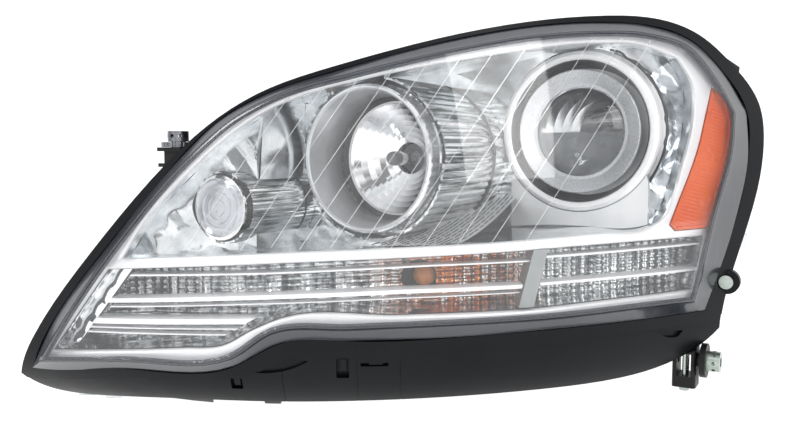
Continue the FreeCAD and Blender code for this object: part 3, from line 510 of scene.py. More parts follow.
def distance_mask(tree, point, scale, near, far):
    """1 within a distance (metres) of a point, falling to 0; scale flattens the distance along an axis."""
    tex = tree.nodes.new("ShaderNodeTexCoord")
    offset = tree.nodes.new("ShaderNodeVectorMath")
    offset.operation = "SUBTRACT"
    offset.inputs[1].default_value = point
    tree.links.new(tex.outputs["Object"], offset.inputs[0])
    squeeze = tree.nodes.new("ShaderNodeVectorMath")
    squeeze.operation = "MULTIPLY"
    squeeze.inputs[1].default_value = scale
    tree.links.new(offset.outputs[0], squeeze.inputs[0])
    length = tree.nodes.new("ShaderNodeVectorMath")
    length.operation = "LENGTH"
    tree.links.new(squeeze.outputs[0], length.inputs[0])
    return span(tree, length.outputs["Value"], 1.0, 0.0, near, far)


def two_paints(name, centre, radius, inside_colours, outside_colour, inside_rough, outside_rough, metallic,
               painted_shade_depth=None):
    """Paint that changes at a radius round a line along car Y; the inner one may take painted shade that
    darkens with depth into the bore.
    """
    mat, tree, out = new_material(name)
    shader = tree.nodes.new("ShaderNodeBsdfPrincipled")
    mask = distance_mask(tree, Vector(centre) * MM, (1, 0, 1), radius - 0.0003, radius + 0.0003)
    drift = noise(tree, coords(tree), 14.0, 4.0, 0.6)
    inner = ramp(tree, drift, [(0.3, inside_colours[0]), (0.7, inside_colours[1])])
    # Painted shade: the inner colour is mixed towards near black with depth along car Y, for the shade deep
    # in the bore.
    if painted_shade_depth:
        tex = tree.nodes.new("ShaderNodeTexCoord")
        split = tree.nodes.new("ShaderNodeSeparateXYZ")
        tree.links.new(tex.outputs["Object"], split.inputs["Vector"])
        darker = tree.nodes.new("ShaderNodeMix")
        darker.data_type = "RGBA"
        darker.inputs["B"].default_value = (0.035, 0.037, 0.042, 1)
        tree.links.new(span(tree, split.outputs["Y"], 0.0, 1.0, *painted_shade_depth), darker.inputs["Factor"])
        tree.links.new(inner, darker.inputs["A"])
        inner = darker.outputs["Result"]
    mix = tree.nodes.new("ShaderNodeMix")
    mix.data_type = "RGBA"
    mix.inputs["A"].default_value = (*outside_colour, 1)
    tree.links.new(mask, mix.inputs["Factor"])
    tree.links.new(inner, mix.inputs["B"])
    tree.links.new(mix.outputs["Result"], shader.inputs["Base Color"])
    tree.links.new(span(tree, mask, outside_rough, inside_rough), shader.inputs["Roughness"])
    shader.inputs["Metallic"].default_value = metallic
    tree.links.new(bump(tree, noise(tree, coords(tree), 1500.0, 2.0), 0.3, 0.00002), shader.inputs["Normal"])
    tree.links.new(shader.outputs["BSDF"], out.inputs["Surface"])
    return mat


def turn_chrome():
    """Plated optics with painted reflections: amber glints painted round the turn-signal bulb and dark and
    bright streaks painted into the base colour.
    """
    mat, tree, out = new_material("turn_optic_chrome")
    shader = tree.nodes.new("ShaderNodeBsdfPrincipled")
    vector = coords(tree)
    # Painted reflection: amber spots near the turn-signal bulb stand for its glints in the plating.
    painted_glint_zone = distance_mask(tree, Vector((TURN[0] + 32, 124, TURN[2] + 1)) * MM, (0.7, 0.3, 0.35), 0.012, 0.045)
    patchy = noise(tree, coords(tree, (1, 1, 0.35)), 170.0, 3.0, 0.6)
    painted_amber_glints = tree.nodes.new("ShaderNodeMath")
    painted_amber_glints.operation = "MULTIPLY"
    tree.links.new(painted_glint_zone, painted_amber_glints.inputs[0])
    tree.links.new(span(tree, patchy, 0.0, 1.0, 0.42, 0.50), painted_amber_glints.inputs[1])
    # Painted reflection: streaks from near black to near white in the base colour.
    painted_reflection_streaks = noise(tree, coords(tree, (1, 1, 0.25)), 150.0, 4.0, 0.6)
    base = ramp(tree, painted_reflection_streaks, [(0.36, (0.13, 0.14, 0.15)), (0.48, (0.62, 0.64, 0.65)),
                                (0.62, (0.94, 0.95, 0.95))])
    mix = tree.nodes.new("ShaderNodeMix")
    mix.data_type = "RGBA"
    mix.inputs["B"].default_value = (0.56, 0.19, 0.045, 1)
    tree.links.new(painted_amber_glints.outputs[0], mix.inputs["Factor"])
    tree.links.new(base, mix.inputs["A"])
    tree.links.new(mix.outputs["Result"], shader.inputs["Base Color"])
    shader.inputs["Metallic"].default_value = 1.0
    tree.links.new(span(tree, noise(tree, vector, 70, 3), 0.05, 0.16, 0.3, 0.7), shader.inputs["Roughness"])
    tree.links.new(shader.outputs["BSDF"], out.inputs["Surface"])
    return mat


def chrome_with_painted_streaks():
    """Plated flutes along car Y: long dark and bright streaks painted into the base colour as painted
    reflections.
    """
    mat, tree, out = new_material("fluted_chrome")
    shader = tree.nodes.new("ShaderNodeBsdfPrincipled")
    # Painted reflection: base colour streaks from near black to near white, stretched along car Y.
    painted_reflection_streaks = noise(tree, coords(tree, (1, 0.10, 1)), 150.0, 3.0, 0.55)
    tree.links.new(ramp(tree, painted_reflection_streaks, [(0.38, (0.05, 0.055, 0.055)), (0.46, (0.52, 0.54, 0.54)),
                                        (0.58, (0.95, 0.96, 0.96))]), shader.inputs["Base Color"])
    shader.inputs["Metallic"].default_value = 1.0
    tree.links.new(span(tree, noise(tree, coords(tree), 40.0), 0.06, 0.16, 0.3, 0.7),
                   shader.inputs["Roughness"])
    tree.links.new(shader.outputs["BSDF"], out.inputs["Surface"])
    return mat


AMBER_PLASTIC = amber_plastic()
FLUTED_CHROME = chrome_with_painted_streaks()
# The tube's inner paint gets painted shade from 86 mm to 113 mm back along car Y.
TUBE_PAINT = two_paints("tube_paint", HB, 0.0574, ((0.50, 0.51, 0.53), (0.82, 0.83, 0.84)),
                        (0.90, 0.91, 0.93), 0.34, 0.10, 0.75, painted_shade_depth=(0.086, 0.113))
TRIM_PAINT = two_paints("trim_paint", LB, 0.0618, ((0.008, 0.008, 0.009), (0.016, 0.016, 0.018)),
                        (0.93, 0.93, 0.94), 0.40, 0.32, 0.25)
TURN_CHROME = turn_chrome()
AMBER_GLASS = amber_glass()
LENS_GLASS = lens_glass()

# ------------------------------------------------------------------ carried-over CAD nodes
CAD_MATERIALS = {
    "housing": (BLACK, "housing"), "cover_seal": (RUBBER, "seal"),
    "cover_tabs": (CLEAR_PART, "clear_tab"), "housing_screws": (ZINC, "steel"),
    "upper_inner_sleeve": (DARK_STEEL, "steel"), "upper_inner_washer": (DARK_STEEL, "steel"),
    "upper_inner_bracket": (NYLON, "dark_plastic"), "lower_outer_bracket": (NYLON, "dark_plastic"),
    "lower_outer_sleeve": (ZINC, "steel"), "outer_ear_insert": (ZINC, "steel"),
    "upper_outer_clip": (NYLON, "dark_plastic"), "low_beam_trim": (TRIM_PAINT, "satin_silver"),
    "high_beam_tube": (TUBE_PAINT, "satin_silver"), "position_lamp_lens": (CLEAR_PUCK, "clear_optic"),
    "position_lamp_cup": (MIRROR, "reflector"), "high_beam_reflector": (MIRROR, "reflector"),
    "projector_reflector": (MIRROR, "reflector"), "high_beam_bulb": (GLASS_BULB, "bulb_glass"),
    "high_beam_base": (NICKEL, "bulb_metal"), "high_beam_clip": (NICKEL, "steel"),
    "high_beam_clip_pin": (NICKEL, "steel"), "low_beam_bulb": (GLASS_BULB, "bulb_glass"),
    "low_beam_base": (NICKEL, "bulb_metal"), "low_beam_clip": (NICKEL, "steel"),
    "low_beam_clip_pin": (NICKEL, "steel"), "projector_lens": (LENS_GLASS, "lens_glass"),
    "lens_holder": (SPARKLE, "satin_silver"), "cutoff_shade": (SHADE_STEEL, "shade_steel"),
    "carrier_frame": (NYLON, "dark_plastic"), "pivot_block": (ACETAL, "white_plastic"),
    "pivot_post": (NYLON, "dark_plastic"), "tilt_stud": (ZINC, "steel"),
    "tilt_knob": (ACETAL, "white_plastic"), "pan_stud": (ZINC, "steel"),
    "pan_knob": (ACETAL, "white_plastic"), "low_beam_cap": (NYLON, "dark_plastic"),
    "high_beam_cap": (NYLON, "dark_plastic"), "cap_seals": (RUBBER, "seal"),
    "turn_socket": (GREY_NYLON, "grey_plastic"), "turn_bulb": (AMBER_GLASS, "amber_glass"),
    "position_socket": (GREY_NYLON, "grey_plastic"), "position_bulb": (GLASS_BULB, "bulb_glass"),
    "marker_socket": (GREY_NYLON, "grey_plastic"), "marker_bulb": (GLASS_BULB, "bulb_glass"),
    "main_connector": (NYLON, "dark_plastic"), "vents": (RUBBER, "seal"),
    "low_beam_collar": (SATIN, "satin_silver"),
}
for node, (material, slot_name) in CAD_MATERIALS.items():
    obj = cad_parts[node]
    obj.data.materials.clear()
    obj.data.materials.append(material)

# ------------------------------------------------------------------ front cover
front_sharp = sharp_corners(FRONT)
front_loop = smooth_loop(FRONT, front_sharp)
rear_loop = smooth_loop(REAR, front_sharp)


def bowl_at(depth):
    return lambda s, z: on_bowl(s, z, depth)


crown = Builder()
crown_loop = grow(front_loop, -2.4)
crown_inner = grow(front_loop, -4.2)
crown.patch(crown_loop, bowl_at(0.05), step=9.0)
crown.patch(crown_inner, bowl_at(3.0), step=9.0)
crown.skin([[on_bowl(s, z, 0.05) for s, z in crown_loop], [on_bowl(s, z, 3.0) for s, z in crown_inner]])
crown.mesh("cover_crown", COVER_CLEAR, slot="clear_cover", replaces=["front_cover"])

skirt = Builder()
rows = []
for inset, depth in ((-2.4, 0.05), (-1.3, 0.35), (-0.4, 1.1), (0.0, 2.4)):
    rows.append([on_bowl(s, z, depth) for s, z in grow(front_loop, inset)])
for k in range(1, 9):
    t = k / 8
    depth = 2.4 + 12.0 * t
    bent = t**1.15
    blend = [(a[0] + (b[0] - a[0]) * bent, a[1] + (b[1] - a[1]) * bent)
             for a, b in zip(front_loop, rear_loop)]
    rows.append([on_bowl(s, z, depth) for s, z in grow(blend, -0.2)])
rows.append([on_bowl(s, z, 17.8) for s, z in grow(rear_loop, -0.2)])
rows.append([on_bowl(s, z, 17.8) for s, z in grow(rear_loop, -3.2)])
for k in range(7, -1, -1):
    t = k / 8
    depth = 4.0 + 11.0 * t
    blend = [(a[0] + (b[0] - a[0]) * t, a[1] + (b[1] - a[1]) * t) for a, b in zip(front_loop, rear_loop)]
    rows.append([on_bowl(s, z, depth) for s, z in grow(blend, -3.0)])
rows.append([on_bowl(s, z, 3.0) for s, z in crown_inner])
skirt.skin(rows)
skirt.mesh("cover_skirt", COVER_EDGE, slot="clear_cover", replaces=["front_cover"])

# Fine ribs across the inside of the cover, each with a short tick at its upper end.
cover_lines = Builder()
line_area = grow(front_loop, -6.0)
for k in range(12):
    top_s = 95.0 + 26.6 * k
    heights = [z for z in range(-60, 95) if inside(np.array([(top_s, z)]), line_area)[0]]
    s, z = top_s, float(max(heights))
    run = []
    while inside(np.array([(s, z)]), line_area)[0] and z > -84:
        run.append((s, z))
        s, z = s - 0.566 * 5, z - 0.825 * 5
    rows = []
    for across, depth in ((-0.22, 3.0), (-0.22, 3.25), (0.22, 3.25), (0.22, 3.0), (-0.22, 3.0)):
        rows.append([on_bowl(s + 0.825 * across, z - 0.566 * across, depth) for s, z in run])
    cover_lines.skin(rows, closed=False)
    tick_s, tick_z = run[0]
    tick = [(tick_s - 1.2, tick_z - 0.3), (tick_s + 2.6, tick_z + 2.2),
            (tick_s + 2.9, tick_z + 1.7), (tick_s - 0.9, tick_z - 0.8)]
    cover_lines.block(tick, bowl_at(3.0), bowl_at(3.4))
cover_lines.mesh("cover_lines", CLEAR_LINE, slot="clear_cover", replaces=["front_cover"])

# ------------------------------------------------------------------ bezel face
upper_loop = smooth_loop(UPPER)
lower_loop = smooth_loop(LOWER)
amber_loop = smooth_loop(AMBER)
face_outer = grow(front_loop, -0.9)


def lip_rows(loop, growths):
    return [[on_bowl(s, z, depth) for s, z in grow(loop, distance)] for distance, depth in growths]


bezel = Builder()
holes = [grow(upper_loop, 2.6), grow(lower_loop, 2.6), grow(amber_loop, 0.8)]
bezel.patch(face_outer, bowl_at(9.6), holes=holes, step=7.0)
bezel.skin(lip_rows(front_loop, [(-0.9, 9.6), (-0.5, 10.2), (-0.5, 13.5)]))
for loop in (upper_loop, lower_loop):
    bezel.skin(lip_rows(loop, [(2.6, 9.6), (1.2, 9.9), (0.3, 10.8), (0.0, 12.2), (0.0, 16.0)]))
bezel.skin(lip_rows(amber_loop, [(0.8, 9.6), (0.6, 13.0)]))
bezel.mesh("bezel_face", WHITE_SILVER, slot="bezel_silver", replaces=["bezel"])

# ------------------------------------------------------------------ upper chamber
def chamber_y(x, z):
    """Rear wall of the chamber in steps: shallow by the position lamp, deeper by the two beams."""
    y = bowl_y(x, z, 33.0)
    if x > ROOM_B[0]:
        y = max(y, ROOM_B[2])
    if x > ROOM_C[0]:
        y = max(y, ROOM_C[2])
    return y


def chamber_w(s, z):
    """How far back a line of sight along W travels before it meets the stepped rear wall."""
    w = bowl_w(s, z, 16.0)
    for _ in range(500):
        x = s * math.cos(SWEEP) - w * math.sin(SWEEP)
        y = s * math.sin(SWEEP) + w * math.cos(SWEEP)
        if y >= chamber_y(x, z):
            break
        w += 0.5
    return w


def circle(centre, radius, count=72):
    angles = [2 * math.pi * i / count for i in range(count)]
    return [(centre[0] + radius * math.sin(a), centre[2] + radius * math.cos(a)) for a in angles]


def clip_region(loop, keep):
    """Part of a loop for which keep(x, z) is true, with the crossings found by halving."""
    out = []
    for i in range(len(loop)):
        a, b = loop[i], loop[(i + 1) % len(loop)]
        if keep(*a):
            out.append(a)
        if keep(*a) != keep(*b):
            lo, hi = 0.0, 1.0
            for _ in range(20):
                mid = (lo + hi) / 2
                p = (a[0] + (b[0] - a[0]) * mid, a[1] + (b[1] - a[1]) * mid)
                if keep(*p) == keep(*a):
                    lo = mid
                else:
                    hi = mid
            out.append((a[0] + (b[0] - a[0]) * lo, a[1] + (b[1] - a[1]) * lo))
    return out


# Side walls of the chamber follow the opening straight back to the stepped rear wall.
chamber = Builder()
wall_rows = []
for k in range(15):
    t = k / 14
    row = []
    for s, z in upper_loop:
        near, far = bowl_w(s, z, 15.5), chamber_w(s, z)
        row.append(car(s, near + (far - near) * t, z))
    wall_rows.append(row)
chamber.skin(wall_rows)
chamber.mesh("chamber_walls", FACET_CHROME, slot="bezel_silver", replaces=["bezel"])


def opening_at_plane(y):
    """The opening's outline where it meets a plane across the car frame, as (x, z)."""
    out = []
    for s, z in upper_loop:
        # car y = s sin + w cos, so w follows from y
        w = (y - s * math.sin(SWEEP)) / math.cos(SWEEP)
        out.append((s * math.cos(SWEEP) - w * math.sin(SWEEP), z))
    return out


def opening_on_bowl(depth):
    out = []
    for s, z in upper_loop:
        w = bowl_w(s, z, depth)
        out.append((s * math.cos(SWEEP) - w * math.sin(SWEEP), z))
    return out


def rear_wall(name, loop, lift, holes, material, step=5.0):
    part = Builder()
    loop = [p for i, p in enumerate(loop) if (Vector(p) - Vector(loop[i - 1])).length > 0.05]
    part.patch(loop, lift, holes=holes, step=step)
    return part.mesh(name, material, slot="bezel_silver", replaces=["bezel"])


def facets(x, z, size, depth):
    """Folded mirror facets: rises and falls between creases."""
    u = (x * 0.82 + z * 0.57) / size
    v = (x * -0.35 + z * 0.93) / (size * 1.7)
    return depth * (abs((u % 1.0) - 0.5) + abs((v % 1.0) - 0.5) - 0.5)


def in_opening(x, y, z):
    """Whether a car-frame place lies inside the straight opening and behind the bezel's face."""
    s, w = to_lens(x, y)
    return bool(inside(np.array([(s, z)]), upper_loop)[0]) and w > bowl_w(s, z, 15.5)


def step_wall(name, x, front, back, tests):
    """Side wall of a room: the plane at a lateral place, between the faces in front and behind."""
    def w_of(s):
        return (s * math.cos(SWEEP) - x) / math.sin(SWEEP)

    def y_of(s):
        return s * math.sin(SWEEP) + w_of(s) * math.cos(SWEEP)

    part = Builder()
    for test in tests:
        region = clip_region(upper_loop, lambda s, z: front(s, z, w_of(s), y_of(s)))
        region = clip_region(region, lambda s, z: y_of(s) < back)
        region = clip_region(region, lambda s, z: test(z))
        region = [p for i, p in enumerate(region) if (Vector(p) - Vector(region[i - 1])).length > 0.05]
        if len(region) > 2:
            part.patch(region, lambda s, z: Vector((x, y_of(s), z)) * MM, step=4.0)
    part.mesh(name, FACET_CHROME, slot="bezel_silver", replaces=["bezel"])


step_wall("chamber_step_inner", ROOM_B[0], lambda s, z, w, y: w > bowl_w(s, z, 33.0), ROOM_B[2],
          [lambda z: z > -33.0, lambda z: z < -71.5])
step_wall("chamber_step_middle", ROOM_C[0], lambda s, z, w, y: y > ROOM_B[2], ROOM_C[2], [lambda z: z > 51.0])

near_loop = clip_region(opening_on_bowl(33.0), lambda x, z: x < ROOM_B[0])
rear_wall("chamber_rear_inner", near_loop,
          lambda x, z: Vector((x, bowl_y(x, z, 33.0) + facets(x, z, 21, 3.0), z)) * MM,
          [circle(POS, 28.8)], FACET_CHROME, 3.0)
mid_loop = clip_region(opening_at_plane(ROOM_B[2]), lambda x, z: ROOM_B[0] < x < ROOM_C[0])
rear_wall("chamber_rear_middle", mid_loop,
          lambda x, z: Vector((x, ROOM_B[2] + facets(x, z, 24, 2.0), z)) * MM,
          [circle(HB, 67.3)], FACET_CHROME, 3.0)
far_loop = clip_region(opening_at_plane(ROOM_C[2]),
                       lambda x, z: ROOM_C[0] < x and bowl_y(x, z, 33.0) < ROOM_C[2])
rear_wall("chamber_rear_outer", far_loop,
          lambda x, z: Vector((x, ROOM_C[2], z)) * MM, [circle(HB, 63.2), circle(LB, 72.2)],
          FACET_CHROME, 4.0)
side_loop = clip_region(opening_on_bowl(33.0), lambda x, z: bowl_y(x, z, 33.0) > ROOM_C[2])
rear_wall("chamber_side_facets", side_loop,
          lambda x, z: Vector((x, bowl_y(x, z, 33.0) + facets(x, z, 15, 4.0), z)) * MM, [circle(LB, 72.2)],
          FACET_CHROME, 2.5)


# ------------------------------------------------------------------ shells round the lamps
def fluted(count, depth):
    def shape(r, t, a, k):
        return r + depth * (abs(math.sin(a * count / 2)) - 0.5) * min(k, 1), t
    return shape


shell = Builder()
taper = [(67.0 - 4.0 * max(0.0, (t - 94) / 52.0), t) for t in range(12, 147, 6)]
lathe(shell, [(65.2, 10), (67.0, 10)] + taper + [(63.0, 146.6)], HB, segments=360, shape=fluted(60, 0.9))
shell.keep(lambda x, y, z: in_opening(x, y, z) and (y < 203.5 or math.hypot(x - LB[0], z - LB[2]) > 73.0))
shell.mesh("high_beam_shell", FLUTED_CHROME, slot="bezel_silver", replaces=["high_beam_shroud"])
shell = Builder()
sleeve = [(28.5, t) for t in range(9, 89, 8)]
lathe(shell, [(27.0, 6), (28.5, 6)] + sleeve + [(28.5, 88.9)], POS, segments=240, shape=fluted(40, 0.5))
shell.keep(lambda x, y, z: in_opening(x, y, z) and y < 76 and math.hypot(x - HB[0], z - HB[2]) > 62.5)
shell.mesh("position_lamp_shell", FLUTED_CHROME, slot="bezel_silver", replaces=["position_lamp_shroud"])

# ------------------------------------------------------------------ small dark details of the chamber
seam = Builder()
lathe(seam, [(65.6, 107), (67.6, 107), (67.6, 108.4), (65.6, 108.4), (65.6, 107)], HB, start=15, end=200)
seam.keep(lambda x, y, z: in_opening(x, y, z))
seam.mesh("high_beam_shroud_line", NYLON, slot="dark_plastic")
seam = Builder()
lathe(seam, [(28.2, 76), (29.2, 76), (29.2, 77), (28.2, 77), (28.2, 76)], POS, start=10, end=200)
seam.keep(lambda x, y, z: in_opening(x, y, z) and y < 76 and math.hypot(x - HB[0], z - HB[2]) > 62.5)
seam.mesh("position_shroud_line", NYLON, slot="dark_plastic")

scallop = Builder()
rows = []
for r, t in ((72.4, 7.4), (74.2, 7.4), (74.2, 8.6), (72.4, 8.6), (72.4, 7.4)):
    row = []
    for i in range(181):
        a = math.radians(20 + 130 * i / 180)
        wave = 1.3 * abs(math.sin(a * 11)) + 0.4 * math.sin(a * 29)
        reach = r + wave
        row.append(Vector((LB[0] + reach * math.sin(a), LB[1] + t, LB[2] + reach * math.cos(a))) * MM)
    rows.append(row)
scallop.skin(rows, closed=False)
ends = [[row[0] for row in rows[:4]], [row[-1] for row in rows[:4]]]
for end in ends:
    scallop.add(end, [(0, 1, 2, 3)])
scallop.mesh("low_beam_gap_line", NYLON, slot="dark_plastic")

rim = Builder()
lathe(rim, [(49.2, 51.7), (49.2, 51.2), (52.8, 49.2), (53.6, 49.2), (53.6, 51.7), (49.2, 51.7)], HB)
rim.mesh("high_beam_gap_ring", NYLON, body="carrier", slot="dark_plastic")
rim = Builder()
bead = [(47.2, 51.6), (47.4, 50.7), (48.6, 50.3), (49.0, 50.7), (48.8, 51.0), (48.0, 51.6), (47.2, 51.6)]
lathe(rim, bead, HB)
rim.mesh("high_beam_bright_ring", WHITE_SILVER, body="carrier", slot="satin_silver")

side = Builder()
rows = []
for k in range(9):
    row = []
    for i in range(241):
        a = math.radians(-10 + 200 * i / 240)
        r = 73.4 + 0.8 * abs(math.sin(a * 13))
        x, z = LB[0] + r * math.sin(a), LB[2] + r * math.cos(a)
        back = max(bowl_y(x, z, 33.0) + 3.0, ROOM_C[2] + 0.5)
        row.append(Vector((x, 209.0 + (back - 209.0) * k / 8, z)) * MM)
    rows.append(row)
side.skin(rows, closed=False)
side.keep(lambda x, y, z: in_opening(x, 214.0, z) or in_opening(x, y, z))
side.mesh("low_beam_side_shell", CHROME, slot="bezel_silver", replaces=["bezel"])


def ramp_z(x, y):
    """Ribbed floor between the two beams: it rises towards the low beam."""
    front = bowl_y(x, -80.0, 18.0)
    u = min(max((y - front) / (212.0 - front), 0.0), 1.0)
    return -81.0 + 33.0 * u**1.6


slope = Builder()
slope.skin([[Vector((x, y, ramp_z(x, y))) * MM for x in range(140, 214, 4)] for y in range(20, 214, 4)],
           closed=False)
slope.keep(lambda x, y, z: in_opening(x, y, -70.0) and y > bowl_y(x, z, 18.0)
           and math.hypot(x - HB[0], z - HB[2]) > 65.0)
slope.mesh("chamber_ramp", SATIN, slot="bezel_silver", replaces=["bezel"])
ribs = Builder()
for i in range(19):
    x = 142.0 + 3.7 * i
    y = 30.0 + random.uniform(0, 5)
    while y < 205:
        length = random.uniform(5.0, 12.0)
        z0, z1 = ramp_z(x, y), ramp_z(x, y + length)
        clear_shell = math.hypot(x - HB[0], z1 - HB[2]) > 68.0
        if y > bowl_y(x, z0, 20.0) and in_opening(x, y, -70.0) and clear_shell:
            corners = [Vector((x + dx, y + dy, (z0 if dy == 0 else z1) + lift)) * MM
                       for lift in (0.05, 0.5) for dx in (-0.3, 0.3) for dy in (0, length)]
            ribs.add(corners, [(0, 1, 3, 2), (4, 6, 7, 5), (0, 4, 5, 1),
                               (2, 3, 7, 6), (0, 2, 6, 4), (1, 5, 7, 3)])
        y += length + random.uniform(1.5, 5.0)
ribs.mesh("chamber_ramp_ribs", NYLON, slot="dark_plastic")

neck = Builder()
seat = 88.0
lathe(neck, [(7.0, seat - 5), (13.6, seat - 5), (13.6, seat - 3.5), (7.0, seat - 3.5), (7.0, seat - 5)], HB,
      segments=8, start=22.5, end=382.5)
neck.mesh("high_beam_neck_plate", GREY_NYLON, body="carrier", slot="dark_plastic", smooth=20)
tip = Builder()
angles = [math.radians(a) for a in range(10, 91, 10)]
dome = [(6.15 * math.sin(a), seat - 42 - 6.15 * math.cos(a)) for a in angles]
profile = [(0.05, seat - 48.2)] + dome + [(6.15, seat - 36), (6.02, seat - 36)]
lathe(tip, profile, HB, segments=48)
tip.mesh("high_beam_bulb_tip", GREY_NYLON, body="carrier", slot="dark_plastic")

# ------------------------------------------------------------------ turn-signal chamber
def turn_depth(s, z):
    """Reflector floor: a dish about each bulb with pillow optics in rows and columns."""
    column = 7.6
    row = 5.2
    u = (s % column) / column - 0.5
    v = ((z - 0.045 * s) % row) / row - 0.5
    tall = 0.15 if s < 75 and z < -137 else 0.9 if s < 285 else 1.5
    pillow = 1.5 * tall * (1 - 4 * u * u) + 1.9 * (1 - 4 * v * v)
    dish = 14.0 * min(((s - 205) / 150) ** 2, 1.0) if s > 55 else 12.0 * min(abs(s + 30) / 90, 1.0)
    return 66.0 - pillow - dish


optic = Builder()
tub_loop = grow(lower_loop, -0.8)
turn_hole = circle((TURN[0] * math.cos(SWEEP) + 108 * math.sin(SWEEP), 0, TURN[2]), 15, 36)
optic.patch(tub_loop, lambda s, z: on_bowl(s, z, turn_depth(s, z)), holes=[turn_hole],
            step=1.3)
optic.skin([[on_bowl(s, z, 16 + (turn_depth(s, z) - 16) * k / 6) for s, z in tub_loop] for k in range(7)])
optic.mesh("turn_optic", TURN_CHROME, slot="turn_optic", replaces=["turn_reflector"], smooth=60)


def band(points, near, far):
    part = Builder()
    part.block(points, bowl_at(near), bowl_at(far))
    return part


BARS = [
    ([(-31, -105.0), (75, -101.5), (200, -96.0), (284, -94.2),
      (283, -95.3), (200, -97.2), (75, -102.8), (-32, -106.4)], 14, 30),
    ([(-48, -124.5), (66, -119), (181, -114.5), (278, -113),
      (277, -116.0), (181, -117.8), (66, -122.4), (-51, -128)], 12, 30),
    ([(-50, -131.5), (66, -126), (181, -121.5), (276, -119.5),
      (276, -120.3), (181, -122.4), (66, -127), (-51, -132.6)], 16, 26),
    ([(-62, -141.0), (69, -137), (61, -141.6), (-66, -145.6)], 12, 30),
    ([(-69, -149.0), (55, -146.0), (54, -147.0), (-70, -150.2)], 16, 26),
    ([(-71, -153.0), (46, -151.0), (44, -152.0), (-72, -154.2)], 16, 26),
    ([(297, -91), (437, -86.2), (437, -87.6), (297, -92.8)], 14, 30),
    ([(292, -112), (437, -107.4), (437, -109.4), (292, -114.2)], 12, 30),
]
louvres = Builder()
for points, near, far in BARS:
    dense = []
    for i in range(len(points)):
        a, b = Vector(points[i]), Vector(points[(i + 1) % len(points)])
        pieces = max(1, int((b - a).length / 12))
        dense += [tuple(a.lerp(b, j / pieces)) for j in range(pieces)]
    half = len(dense)
    front = [on_bowl(s, z, near) for s, z in dense]
    back = [on_bowl(s, z, far) for s, z in dense]
    louvres.skin([front, back])
    louvres.patch(dense, bowl_at(near), step=50)
    louvres.patch(dense, bowl_at(far), step=50)
louvres.mesh("turn_louvres_bright", WHITE_SILVER, slot="satin_silver", replaces=["turn_louvres"])


def left_of_fold(s, z):
    """Distance outboard of the fold that bounds the plain facet at the inner end."""
    return (s + 31.7) * -0.7826 + (z + 101.5) * 0.6226


def facet_face(s, z):
    return on_bowl(s, z, 22 + 0.5 * math.sin(s * 0.31) * math.cos(z * 0.23))


facet_loop = clip_region(grow(lower_loop, -0.9), lambda s, z: left_of_fold(s, z) > 0)
facet = Builder()
facet.patch(facet_loop, facet_face, step=3.0)
facet.skin([[facet_face(s, z) for s, z in facet_loop],
            [on_bowl(s, z, 46) for s, z in facet_loop]])
facet.mesh("turn_inner_facet", CHROME, slot="turn_optic", replaces=["turn_reflector"])
fold = band([(-31.7, -101.5), (-30.9, -102.1), (-83.8, -168.6), (-84.6, -168.0)], 20.0, 23.0)
fold.mesh("turn_fold_line", NYLON, slot="dark_plastic")
DIVIDER = [(286, -85.5), (298, -85.1), (286.5, -131), (274.5, -131)]
divider = band(DIVIDER, 9.8, 40)
divider.mesh("turn_divider_bar", BAR_GREY, slot="grey_bar", replaces=["turn_divider"])

# ------------------------------------------------------------------ amber side reflector
amber = Builder()


def prisms(s, z):
    return 9.2 + 0.55 * abs(((z + 0.25 * s) % 3.2) / 1.6 - 1.0)


amber_rim = grow(amber_loop, -0.2)
amber_flat = grow(amber_loop, -3.0)
amber.patch(amber_flat, lambda s, z: on_bowl(s, z, prisms(s, z)), step=0.8)
amber.patch(amber_rim, bowl_at(8.2), holes=[grow(amber_loop, -2.6)], step=4)
amber.skin([[on_bowl(s, z, 8.2) for s, z in grow(amber_loop, -2.6)],
            [on_bowl(s, z, 9.4) for s, z in amber_flat]])
amber.skin([[on_bowl(s, z, 8.2) for s, z in amber_rim], [on_bowl(s, z, 18.0) for s, z in amber_rim]])
amber.mesh("side_reflex", AMBER_PLASTIC, slot="amber", replaces=["side_reflector"])

# ------------------------------------------------------------------ stage, light, camera
world = bpy.data.worlds.new("studio")
bpy.context.scene.world = world
world.use_nodes = True
tree = world.node_tree
background = tree.nodes["Background"]
tex = tree.nodes.new("ShaderNodeTexCoord")
split = tree.nodes.new("ShaderNodeSeparateXYZ")
tree.links.new(tex.outputs["Generated"], split.inputs["Vector"])
sky = ramp(tree, span(tree, split.outputs["Z"], 0.0, 1.0, -1.0, 1.0), [
    (0.0, (0.9, 0.9, 0.9)), (0.5, (1.0, 1.0, 1.0)), (0.62, (1.0, 1.0, 1.0)),
    (0.80, (0.80, 0.81, 0.83)), (1.0, (0.9, 0.9, 0.92))])
stretch = tree.nodes.new("ShaderNodeMapping")
stretch.inputs["Scale"].default_value = (2.2, 2.2, 1.2)
stretch.inputs["Location"].default_value = (0.35, 0.1, 0.2)
tree.links.new(tex.outputs["Generated"], stretch.inputs["Vector"])
flags = span(tree, noise(tree, stretch.outputs["Vector"], 1.6, 2.0, 0.45), 1.0, 0.0, 0.44, 0.52)
toward = tree.nodes.new("ShaderNodeVectorMath")
toward.operation = "DOT_PRODUCT"
toward.inputs[1].default_value = (0.5, -0.866, 0.0)
tree.links.new(tex.outputs["Generated"], toward.inputs[0])
facing = span(tree, toward.outputs["Value"], 0.0, 0.9, -0.35, 0.05)
shade = tree.nodes.new("ShaderNodeMath")
shade.operation = "MULTIPLY"
tree.links.new(flags, shade.inputs[0])
tree.links.new(facing, shade.inputs[1])
studio = tree.nodes.new("ShaderNodeMix")
studio.data_type = "RGBA"
studio.inputs["B"].default_value = (0.05, 0.055, 0.06, 1)
tree.links.new(shade.outputs[0], studio.inputs["Factor"])
tree.links.new(sky, studio.inputs["A"])
tree.links.new(studio.outputs["Result"], background.inputs["Color"])
background.inputs["Strength"].default_value = 1.25


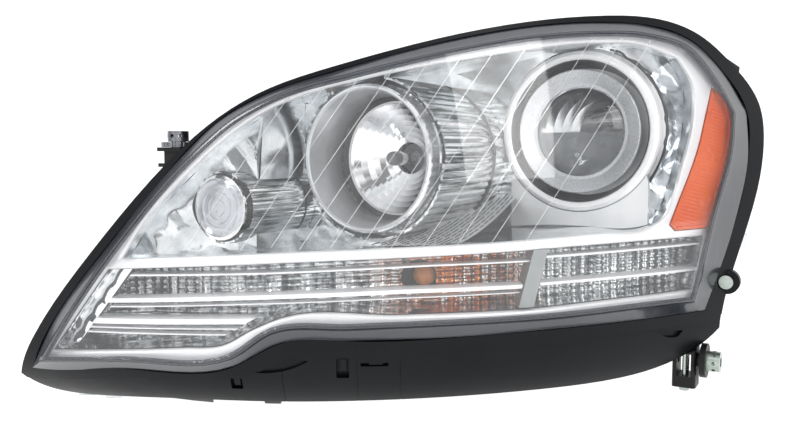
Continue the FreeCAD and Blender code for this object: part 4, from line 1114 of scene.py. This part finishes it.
def pale_floor():
    """White sweep that glows a little, so it keeps no hard shadow."""
    mat, tree, out = new_material("studio_floor")
    shader = tree.nodes.new("ShaderNodeBsdfPrincipled")
    drift = noise(tree, coords(tree), 2.0, 2.0)
    tree.links.new(ramp(tree, drift, [(0.3, (0.32, 0.32, 0.32)), (0.7, (0.34, 0.34, 0.34))]),
                   shader.inputs["Base Color"])
    shader.inputs["Roughness"].default_value = 0.8
    shader.inputs["Specular IOR Level"].default_value = 0.1
    shader.inputs["Emission Color"].default_value = (1, 1, 1, 1)
    shader.inputs["Emission Strength"].default_value = 0.92
    tree.links.new(shader.outputs["BSDF"], out.inputs["Surface"])
    return mat


floor_data = bpy.data.meshes.new("floor")
floor_corners = [(-6, -6, -0.2275), (6, -6, -0.2275), (6, 6, -0.2275), (-6, 6, -0.2275)]
floor_data.from_pydata(floor_corners, [], [(0, 1, 2, 3)])
floor = bpy.data.objects.new("floor", floor_data)
bpy.context.scene.collection.objects.link(floor)
floor_data.materials.append(pale_floor())


def area_light(name, place, aim, size, power, colour=(1, 1, 1)):
    data = bpy.data.lights.new(name, "AREA")
    data.shape = "RECTANGLE"
    data.size, data.size_y = size
    data.energy = power
    data.color = colour
    lamp = bpy.data.objects.new(name, data)
    bpy.context.scene.collection.objects.link(lamp)
    lamp.location = place
    lamp.rotation_mode = "QUATERNION"
    lamp.rotation_quaternion = (Vector(aim) - Vector(place)).to_track_quat("-Z", "Y")
    return lamp


area_light("key", (-0.6, -1.0, 1.1), (0.18, 0.05, -0.05), (0.9, 0.6), 16)
area_light("fill", (1.3, -0.5, 0.6), (0.2, 0.1, -0.05), (0.5, 1.0), 7)

cam_data = bpy.data.cameras.new("camera")
cam_data.lens = 36.0
cam_data.sensor_width = 36.0
cam_data.clip_start = 0.01
cam = bpy.data.objects.new("camera", cam_data)
bpy.context.scene.collection.objects.link(cam)
cam.location = (0.4848258, -0.4777429, -0.0073245)
cam.rotation_mode = "QUATERNION"
cam.rotation_quaternion = (Vector((0.1857507, 0.0402705, -0.0544)) - cam.location).to_track_quat("-Z", "Y")
bpy.context.scene.camera = cam
bpy.context.scene.view_settings.view_transform = "Standard"
